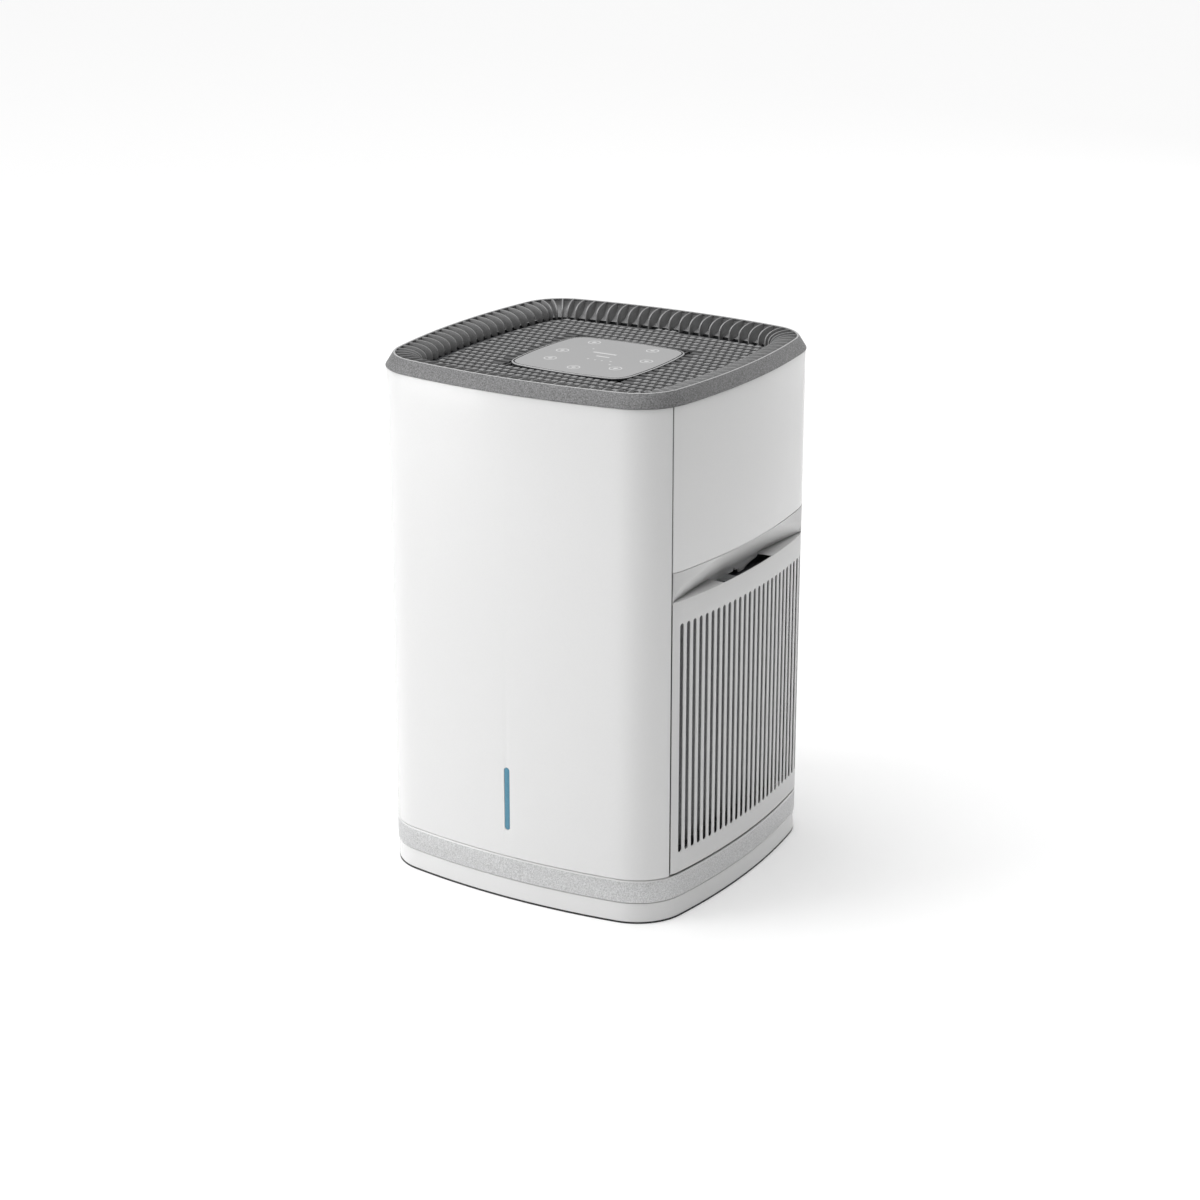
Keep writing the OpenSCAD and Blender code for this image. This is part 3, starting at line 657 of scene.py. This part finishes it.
# one pitch of the door, with a round-ended slot in its middle, in the YZ plane
def slotCell():
    turns = [15 * i for i in range(13)] + [180 + 15 * i for i in range(13)]
    radius = door["slotWidth"] / 2
    half = door["pitch"] / 2
    low, high = door["slotLow"] + radius, door["slotHigh"] - radius
    bpy.ops.object.select_all(action="DESELECT")
    bpy.ops.mesh.primitive_circle_add(vertices=len(turns), radius=1)
    cell = started("slotCell")
    inner, outer = [], []
    for i, turn in enumerate(turns):
        c, s = math.cos(math.radians(turn)), math.sin(math.radians(turn))
        level = high if i < len(turns) / 2 else low
        stretch = half / max(abs(c), abs(s))
        inner.append((0, radius * c * mm, (level + radius * s) * mm))
        outer.append((0, stretch * c * mm, (level + stretch * s) * mm))
    for vertex, place in zip(cell.data.vertices, inner):
        vertex.co = place
    exact = [tuple(vertex.co) for vertex in cell.data.vertices]
    extrudeLoop(cell, exact, outer)
    return cell


# a flat sheet of cells, widened to the seams and to the door's head and foot
def slottedSheet():
    cell = slotCell()
    pitch, count = door["pitch"], door["slots"]
    cells = []
    for i in range(count):
        y = (i - (count - 1) / 2) * pitch + door["shift"]
        cells.append(copyMoved(cell, Matrix.Translation((0, y * mm, 0))))
    bpy.data.objects.remove(cell)
    panel = joinAll("filterDoorRight", cells)
    finishMesh(panel, recalculate=False)
    top = max(v.co.z for v in panel.data.vertices)
    bottom = min(v.co.z for v in panel.data.vertices)
    for sign in (-1, 1):
        edgeY = door["shift"] + sign * count / 2 * pitch
        selectWhere(panel, lambda co: abs(co.y - edgeY * mm) < 1e-5)
        extrudeSelected((0, sign * sideEdgeY - edgeY, 0))
        done()
    selectWhere(panel, lambda co: abs(co.z - top) < 1e-6)
    extrudeSelected((0, 0, tower["doorTop"] - door["headRow"] - top / mm))
    extrudeSelected((0, 0, door["headRow"]))
    done()
    selectWhere(panel, lambda co: abs(co.z - bottom) < 1e-6)
    extrudeSelected((0, 0, door["bottom"] + door["footRow"] - bottom / mm))
    extrudeSelected((0, 0, -door["footRow"]))
    done()
    return panel


# hinge lugs and filter clips behind the skin
def doorFittings():
    fittings = []
    for sign in (-1, 1):
        for inner, outer, y, half, low, high in door["fittings"]:
            block = addBox("fitting", (inner, sign * y - half, low), (outer, sign * y + half, high))
            bevelEdges(block, door["fittingEdge"], 2)
            smooth(block, 40)
            fittings.append(block)
    return fittings


def filterDoors():
    panel = slottedSheet()
    # bend to the bowed side, with the lowest row set back
    for vertex in panel.data.vertices:
        inset = door["footInset"] if vertex.co.z < (door["bottom"] + 0.3) * mm else 0.0
        vertex.co.x = sideX(vertex.co.y / mm, inset) * mm
    # ledge along the top, left open at the finger cut-out
    for low, high in ((-sideEdgeY, door["cutFront"]), (door["cutBack"], sideEdgeY)):
        selectWhere(panel, lambda co: co.z > (tower["doorTop"] - 0.1) * mm and co.x > 0.0965
                    and low - 0.3 < co.y / mm < high + 0.3)
        bpy.ops.mesh.extrude_edges_move()
        done()
        for vertex in panel.data.vertices:
            if vertex.select:
                vertex.co.x = ledgeX(vertex.co.y / mm) * mm
    finishMesh(panel)
    if sum(face.normal.x * face.area for face in panel.data.polygons) < 0:
        panel.data.flip_normals()
    modify(panel, "SOLIDIFY", thickness=door["skin"] * mm, offset=-1, use_even_offset=True)
    bevelEdges(panel, door["edge"], 2, 40)
    smooth(panel, 40)
    panel = joinAll("filterDoorRight", [panel] + doorFittings())
    left = mirrored(panel, "filterDoorLeft")
    finish(panel, "right_door", "white_shell", whiteSatin, "filter_door_right")
    finish(left, "left_door", "white_shell", whiteSatin, "filter_door_left")
    # painted shade: the ledge's top, without the narrow bevels, gets the darker recess white
    for piece in (panel, left):
        accent(piece, recessPaintedShade, lambda face: face.normal.z > 0.8 and face.area > 1e-6
               and face.center.z > (tower["doorTop"] - 2) * mm and abs(face.center.x) < 0.1015)


pleat = {"folds": 34, "outer": 92.9, "inner": 85.9, "half": 67.7, "low": 40.3, "high": 185.7, "felt": 0.5}


def pleatPlace(u, v):
    share = abs(u * pleat["folds"] % 2 - 1)
    return (pleat["inner"] + (pleat["outer"] - pleat["inner"]) * share,
            -pleat["half"] + 2 * pleat["half"] * u,
            pleat["low"] + (pleat["high"] - pleat["low"]) * v)


def filterMedia():
    felt = gridSheet("filterMediaRight", pleat["folds"] * 2, 8, pleatPlace)
    modify(felt, "SOLIDIFY", thickness=pleat["felt"] * mm, offset=0)
    smooth(felt, 25)
    left = mirrored(felt, "filterMediaLeft")
    finish(felt, "right_door", "filter_felt", filterFelt, "filter_media_right")
    finish(left, "left_door", "filter_felt", filterFelt, "filter_media_left")


filterDoors()
filterMedia()
print("doors ready")


# finger recess above each door: a slope from the panel's lip down to the ledge
scoop = {
    "columns": 96, "rows": 26, "thick": 1.0, "setBack": 0.35, "gap": 0.45, "atSeam": 0.05,
    "below": 0.2, "above": 0.3, "tuck": 1.7,
    "crescent": 60.0, "crescentPower": 0.38, "kinkLeast": 0.02, "kinkMost": 0.985,
    "start": 0.13, "startRun": 2, "split": 0.4, "lap": 0.94, "slopePower": 0.92,
}
# wall below the slope, seen through the ledge's cut-out, with a hole and a notch for the catch
recessWall = {
    "front": -31.5, "back": 30.0, "deep": 6.4, "above": 0.25, "gap": 0.47, "curl": 9.0, "curlFrom": 0.72,
    "curlPower": 1.2, "holeFront": -8, "holeBack": 7, "holeTop": 192.9, "notchY": 1.5, "notchHalf": 1.4,
    "notchHigh": 1.6,
}


# v runs down the slope: near the wall at first, then inward, and at last straight down behind the ledge
def scoopPlace(u, v):
    span = sideEdgeY - scoop["atSeam"]
    y = -span + 2 * span * u
    outer, inner = sideX(y, scoop["setBack"]), ledgeX(y) - scoop["gap"]
    top, bottom = tower["lipZ"] - scoop["below"], tower["doorTop"] + scoop["above"]
    fromSeam = span - abs(y)
    kink, start = scoop["kinkLeast"], scoop["start"]
    if fromSeam < scoop["crescent"]:
        kink = max(kink, 1 - (fromSeam / scoop["crescent"]) ** scoop["crescentPower"])
        kink = min(kink, scoop["kinkMost"])
    if fromSeam <= scoop["startRun"]:
        start = start * fromSeam / scoop["startRun"]
    if v > scoop["lap"]:
        low = (v - scoop["lap"]) / (1 - scoop["lap"])
        return (inner, y, bottom - scoop["tuck"] * low)
    v = v / scoop["lap"]
    if v < scoop["split"]:
        fall = v / scoop["split"] * kink
        depth = start * v / scoop["split"]
    else:
        t = (v - scoop["split"]) / (1 - scoop["split"])
        fall = kink + (1 - kink) * t
        depth = start + (1 - start) * t ** scoop["slopePower"]
    return (outer + (inner - outer) * depth, y, top + (bottom - top) * fall)


# the wall curls inward towards the rear
def recessWallPlace(u, v):
    y = recessWall["front"] + (recessWall["back"] - recessWall["front"]) * u
    share = max(0.0, (u - recessWall["curlFrom"]) / (1 - recessWall["curlFrom"]))
    curl = recessWall["curl"] * share ** recessWall["curlPower"]
    turn = v * math.pi / 2
    return (ledgeX(y) - recessWall["gap"] - curl * (1 - math.cos(turn)), y,
            tower["doorTop"] + recessWall["above"] - recessWall["deep"] * math.sin(turn))


def forCatch(face):
    y, z, top = face.center.y / mm, face.center.z / mm, recessWall["holeTop"]
    inHole = recessWall["holeFront"] < y < recessWall["holeBack"] and z < top
    inNotch = abs(y - recessWall["notchY"]) < recessWall["notchHalf"] and z < top + recessWall["notchHigh"]
    return inHole or inNotch


def fingerScoops():
    slope = gridSheet("fingerScoopRight", scoop["columns"], scoop["rows"], scoopPlace)
    wall = gridSheet("recessWall", 90, 24, recessWallPlace)
    deleteFaces(wall, forCatch)
    modify(wall, "SOLIDIFY", thickness=scoop["thick"] * mm, offset=0)
    modify(slope, "SOLIDIFY", thickness=scoop["thick"] * mm, offset=0)
    smooth(slope, 30)
    smooth(wall, 40)
    slope = joinAll("fingerScoopRight", [slope, wall])
    left = mirrored(slope, "fingerScoopLeft")
    # painted shade: the slope and the wall below it get the darker recess white, standing in for the shade
    # in the recess
    finish(slope, "housing", "white_shell", recessPaintedShade, "finger_scoop_right")
    finish(left, "housing", "white_shell", recessPaintedShade, "finger_scoop_left")


fingerScoops()
print("finger recesses ready")


# top outlet: insets run inward from the tower's outline
ring = {
    "section": [(-0.5, 311.3), (-0.5, 311.7), (-0.3, 312.1), (3.9, 318.75), (4.2, 319.05), (4.5, 319.2),
                (5.0, 319.2), (5.3, 319.05), (5.55, 318.7), (5.6, 311.3)],
}
bowl = {
    "outside": 2.9, "low": 306.8, "floor": 308.6, "paintedShadeBelow": 309.4,
    "in": 5.8, "coveIn": 16.6, "coveLow": 309.6, "coveHigh": 317.8,
}
ribs = {
    "out": 5.8, "in": 20.6, "low": 308.4, "foot": 311.6, "thick": 1.0, "edge": 0.2, "belowRim": 0.05,
    "overlap": 0.1, "bury": 0.3, "steps": 10, "inPower": 0.85, "downPower": 0.75,
    "pitch": 7.7, "atCorner": 5, "paintedShadeBelow": 308.6,
    "footSection": [(19.4, 306.8), (19.4, 308.5), (21.0, 308.5), (21.0, 306.8)],
}


def topRing():
    piece = sweepOutline("topRing", tower["shape"], ring["section"])
    smooth(piece, 24)
    finish(piece, "housing", "ring_grey", greyGrain, "top_ring")
    # painted highlight: the rim's upward-facing faces get the lighter grey, standing in for the light caught
    # along its top
    accent(piece, rimEdge, lambda face: face.normal.z > 0.75)


# quarter turns from 0 to a right angle, in equal steps
def quarterTurn(steps):
    return [math.pi / 2 * i / steps for i in range(steps + 1)]


def cove(steps):
    run, fall = bowl["coveIn"] - bowl["in"], bowl["coveHigh"] - bowl["coveLow"]
    return [(bowl["in"] + run * (1 - math.cos(a)), bowl["coveHigh"] - fall * math.sin(a))
            for a in quarterTurn(steps)]


def outletBowl():
    outside = [(bowl["outside"], bowl["low"]), (bowl["outside"], bowl["floor"]), (bowl["in"], bowl["floor"])]
    inside = [(bowl["coveIn"], bowl["low"])]
    piece = sweepOutline("outletBowl", tower["shape"], outside + cove(10) + inside)
    smooth(piece, 35)
    # painted light and painted shade: the bowl is lighter than the ring to lift the cove's shade, and its
    # lowest faces are dark for the shade in the slot at its foot
    finish(piece, "housing", "ring_grey", bowlPaintedLight, "outlet_bowl")
    accent(piece, darkPlastic, lambda face: face.center.z < bowl["paintedShadeBelow"] * mm)


# one rib, flat in the XZ plane: x runs inward from the outline, z is height
def singleRib():
    overlap = ribs["overlap"]
    run = ribs["in"] - ribs["out"] + overlap
    drop = tower["rimTop"] - ribs["belowRim"] - ribs["foot"]
    profile = [(ribs["out"] - overlap + run * math.sin(a) ** ribs["inPower"],
                ribs["foot"] + drop * math.cos(a) ** ribs["downPower"]) for a in quarterTurn(ribs["steps"])]
    profile += [(ribs["in"], ribs["low"]), (bowl["coveIn"] + overlap, ribs["low"])]
    profile += [(x - ribs["bury"], z - ribs["bury"]) for x, z in reversed(cove(6)[1:])]
    bpy.ops.object.select_all(action="DESELECT")
    bpy.ops.mesh.primitive_circle_add(vertices=len(profile), radius=0.01, fill_type="NGON")
    rib = started("rib")
    for vertex, (x, z) in zip(rib.data.vertices, profile):
        vertex.co = (x * mm, -ribs["thick"] / 2 * mm, z * mm)
    edit(rib)
    bpy.ops.mesh.extrude_region_move(TRANSFORM_OT_translate={"value": (0, ribs["thick"] * mm, 0)})
    done()
    finishMesh(rib)
    bevelEdges(rib, ribs["edge"], 2, 50)
    return rib


# a place on the outline for each rib, turned to face inward
def ribFrames():
    frames = []
    for index, (centre, radius, start, end, steps) in enumerate(outlineArcs(tower["shape"])):
        count = ribs["atCorner"] if index % 2 else int(radius * (end - start) / ribs["pitch"] + 0.5)
        for i in range(count):
            angle = start + (end - start) * (i + 0.5) / count
            place = Vector((centre[0] + radius * math.cos(angle), centre[1] + radius * math.sin(angle), 0))
            frames.append(Matrix.Translation(place * mm) @ Matrix.Rotation(angle + math.pi, 4, "Z"))
    return frames


def ventRibs():
    rib = singleRib()
    copies = [copyMoved(rib, place) for place in ribFrames()]
    bpy.data.objects.remove(rib)
    foot = sweepOutline("foot", tower["shape"], ribs["footSection"])
    piece = joinAll("ventRibs", copies + [foot])
    smooth(piece, 40)
    # painted light and painted shade: the ribs are lighter than the ring to lift the shade between them, and
    # their feet are dark for the shade at the cove's foot
    finish(piece, "housing", "ring_grey", ribPaintedLight, "vent_ribs")
    accent(piece, darkPlastic, lambda face: face.center.z < ribs["paintedShadeBelow"] * mm)


# outlet mesh: bars across, thin wires below them, and a raised pad at each crossing
weave = {
    "rowPitch": 6.66, "padPitch": 5.0, "half": 80.5, "edge": 23.6, "reachStep": 0.25,
    "barWidth": 3.9, "barLow": 308.6, "barHigh": 309.75,
    "padLong": 3.3, "padWide": 2.7, "padHigh": 310.4, "padSunk": 0.3, "padEdge": 0.55, "padClear": 1.6,
    "wireWidth": 1.2, "wireLow": 307.9,
    "panelHalf": 43.6, "panelLap": 3, "panelClear": (1.5, 1.2),
    "rimSection": [(23.4, 307.9), (23.4, 309.6), (24.3, 309.6), (24.3, 307.9)], "rimEdge": 0.3,
}


def insideOutline(x, y, inset):
    halfWidth, halfDepth, bow, corner = tower["shape"]
    cx, cy = cornerCentre(tower["shape"])
    if abs(x) > cx and abs(y) > cy:
        return math.hypot(abs(x) - cx, abs(y) - cy) < corner - inset
    return (math.hypot(abs(x) + bow - halfWidth, y) < bow - inset
            and math.hypot(x, abs(y) + bow - halfDepth) < bow - inset)

# how far out the outline goes from the middle, along the line that place(reach) follows
def reachAlong(place):
    reach = 0.0
    while insideOutline(*place(reach), weave["edge"]):
        reach += weave["reachStep"]
    return reach


def barSpans(y, reach):
    if abs(y) < weave["panelHalf"] + 1:
        gap = weave["panelHalf"] - weave["panelLap"]
        return [(-reach, -gap), (gap, reach)]
    return [(-reach, reach)]


def padFits(x, y):
    clearX, clearY = weave["panelClear"]
    underPanel = abs(x) < weave["panelHalf"] + clearX and abs(y) < weave["panelHalf"] + clearY
    return insideOutline(abs(x) + weave["padClear"], y, weave["edge"]) and not underPanel


def topGrille():
    # bar and wire are one millimetre long, and each copy is stretched to its length
    half = weave["barWidth"] / 2
    bar = addBox("bar", (-0.5, -half, weave["barLow"]), (0.5, half, weave["barHigh"]))
    half = weave["wireWidth"] / 2
    wire = addBox("wire", (-half, -0.5, weave["wireLow"]), (half, 0.5, weave["barLow"]))
    halfLong, halfWide = weave["padLong"] / 2, weave["padWide"] / 2
    pad = addBox("pad", (-halfLong, -halfWide, weave["barHigh"] - weave["padSunk"]),
                 (halfLong, halfWide, weave["padHigh"]))
    bevelEdges(pad, weave["padEdge"], 2)
    parts, pads = [], []
    rows = int(weave["half"] / weave["rowPitch"])
    for row in range(-rows, rows + 1):
        y = row * weave["rowPitch"]
        reach = reachAlong(lambda reach: (reach, y))
        for low, high in barSpans(y, reach):
            matrix = (Matrix.Translation(((low + high) / 2 * mm, y * mm, 0))
                      @ Matrix.Scale(high - low, 4, Vector((1, 0, 0))))
            parts.append(copyMoved(bar, matrix))
        columns = int(reach / weave["padPitch"]) + 1
        for column in range(-columns, columns + 1):
            x = column * weave["padPitch"] + (row % 2) * weave["padPitch"] / 2
            if padFits(x, y):
                pads.append(copyMoved(pad, Matrix.Translation((x * mm, y * mm, 0))))
    columns = int(weave["half"] / weave["padPitch"])
    for column in range(-columns, columns + 1):
        x = column * weave["padPitch"]
        reach = reachAlong(lambda reach: (x, reach))
        matrix = Matrix.Translation((x * mm, 0, 0)) @ Matrix.Scale(2 * reach, 4, Vector((0, 1, 0)))
        parts.append(copyMoved(wire, matrix))
    for spare in (bar, pad, wire):
        bpy.data.objects.remove(spare)
    rim = sweepOutline("rim", tower["shape"], weave["rimSection"])
    bevelEdges(rim, weave["rimEdge"], 2)
    grille = joinAll("topGrille", parts + [rim])
    smooth(grille, 40)
    finish(grille, "housing", "mesh_grey", meshGrey, "top_grille")
    # painted highlight: the pads get a lighter grey than the bars, standing in for the glints on the raised
    # crossings
    raised = joinAll("grillePads", pads)
    smooth(raised, 40)
    finish(raised, "housing", "mesh_grey", padPaintedHighlight)


topRing()
outletBowl()
ventRibs()
topGrille()
print("outlet ready")


# touch panel: a thin plate with a groove just inside its edge
panel = {"shape": (42.6, 42.2, 220.0, 12.0), "low": 309.2, "top": 310.4, "groove": 0.7, "paintedShadeBelow": 0.3}


def touchPanel():
    top = panel["top"]
    section = [(0.0, panel["low"]), (0.0, top - 0.4), (0.12, top - 0.12), (0.4, top),
               (1.0, top), (1.05, top - 0.05), (1.1, top - panel["groove"]),
               (1.8, top - panel["groove"]), (1.85, top - 0.05), (1.9, top)]
    plate = sweepOutline("touchPanel", panel["shape"], section, closed=False)
    smooth(plate, 30)
    finish(plate, "housing", "panel_glass", panelGrey, "touch_panel")
    # painted shade: the groove and the plate's sides are dark, standing in for the shade in the gap round
    # the panel
    accent(plate, darkPlastic, lambda face: face.center.z < (top - panel["paintedShadeBelow"]) * mm)


# plain printed marks: rings, dots and bars without any meaning of their own
marks = {
    "sunk": 0.02, "thick": 0.06,
    "ring": (4.0, 3.3), "ringDot": 1.4, "dot": 0.7,   # radii
    "rings": [(0.5, -28.7), (23, -18.7), (29.7, 5.4), (19.7, 29.6), (-21, 29.6), (-27, 3), (-23, -17)],
    "dots": [(-13, 15.5), (15.3, -12.5), (-3, -7), (2, -7), (6.5, -7), (12, -6)],
    "bars": [(-1, 9, 16, 1.8), (2, 1.7, 9, 1.5)],   # x, y, length, width
}


def flatDisc(place, radius, inner=0.0):
    x, y = place
    bpy.ops.object.select_all(action="DESELECT")
    bpy.ops.mesh.primitive_circle_add(vertices=28, radius=radius * mm, fill_type="NGON",
                                      location=(x * mm, y * mm, (panel["top"] - marks["sunk"]) * mm))
    disc = placed(started("mark"))
    edit(disc)
    bpy.ops.mesh.select_mode(type="FACE")
    if inner:
        bpy.ops.mesh.inset(thickness=(radius - inner) * mm)
        bpy.ops.mesh.delete(type="FACE")
        bpy.ops.mesh.select_all(action="SELECT")
    bpy.ops.mesh.extrude_region_move(TRANSFORM_OT_translate={"value": (0, 0, marks["thick"] * mm)})
    done()
    finishMesh(disc)
    return disc


def panelMarks():
    shapes = []
    for place in marks["rings"]:
        shapes.append(flatDisc(place, *marks["ring"]))
        shapes.append(flatDisc(place, marks["ringDot"]))
    for place in marks["dots"]:
        shapes.append(flatDisc(place, marks["dot"]))
    low = panel["top"] - marks["sunk"]
    for x, y, length, width in marks["bars"]:
        bar = addBox("mark", (x - length / 2, y - width / 2, low),
                     (x + length / 2, y + width / 2, low + marks["thick"]))
        bevelEdges(bar, 0.02, 1)
        shapes.append(bar)
    printed = joinAll("panelMarks", shapes)
    smooth(printed, 30)
    finish(printed, "housing", "panel_glass", panelMark)


touchPanel()
panelMarks()
print("touch panel ready")


# camera, floor and lights
view = {"azimuth": 31.4345, "elevation": 18.997, "place": (0.81608, -1.33350, 0.69667), "lens": 81.426,
        "sensor": 36}
studio = {"ambient": 0.04, "sky": 2.75, "skyFrom": (-0.12, -0.1, 1), "skySpread": 60, "key": 23.5, "rim": 9,
          "lookAt": (0, 0, 0.16), "floorSize": 40, "floorGlow": 0.2}


def addCamera():
    azimuth, elevation = math.radians(view["azimuth"]), math.radians(view["elevation"])
    back = Vector((math.sin(azimuth) * math.cos(elevation), -math.cos(azimuth) * math.cos(elevation),
                   math.sin(elevation)))
    bpy.ops.object.camera_add(location=view["place"])
    camera = bpy.context.active_object
    camera.rotation_euler = (-back).to_track_quat("-Z", "Y").to_euler()
    camera.data.lens = view["lens"]
    camera.data.sensor_width = view["sensor"]
    bpy.context.scene.camera = camera


def aim(light, direction):
    light.rotation_euler = direction.to_track_quat("-Z", "Y").to_euler()


def addSoftbox(name, place, width, height, energy):
    bpy.ops.object.light_add(type="AREA", location=place)
    light = bpy.context.active_object
    light.name = name
    light.data.shape = "RECTANGLE"
    light.data.size = width
    light.data.size_y = height
    light.data.energy = energy
    aim(light, Vector(studio["lookAt"]) - Vector(place))


def addSky():
    bpy.ops.object.light_add(type="SUN", location=(0, 0, 3))
    light = bpy.context.active_object
    light.name = "skyTop"
    light.data.energy = studio["sky"]
    light.data.angle = math.radians(studio["skySpread"])
    aim(light, -Vector(studio["skyFrom"]))


def addFloor():
    bpy.ops.mesh.primitive_plane_add(size=studio["floorSize"])
    floor = started("studioFloor")
    paleFloor = surface("paleFloor", (0.86, 0.86, 0.86), 0.8, 400, 0.02, 0.004)
    shader = paleFloor.node_tree.nodes["Principled BSDF"]
    shader.inputs["Emission Color"].default_value = (1, 1, 1, 1)
    shader.inputs["Emission Strength"].default_value = studio["floorGlow"]
    floor.data.materials.append(paleFloor)


def addWorld():
    world = bpy.data.worlds.new("studio")
    world.use_nodes = True
    background = world.node_tree.nodes["Background"]
    background.inputs["Color"].default_value = (1, 1, 1, 1)
    background.inputs["Strength"].default_value = studio["ambient"]
    bpy.context.scene.world = world


addCamera()
addFloor()
addWorld()
addSky()
addSoftbox("keyLeft", (-1.7, -1.5, 0.9), 1.2, 1.6, studio["key"])
addSoftbox("rimRight", (0.6, 2.2, 0.8), 0.8, 1.2, studio["rim"])
bpy.context.scene.view_settings.view_transform = "Standard"

print("scene ready")
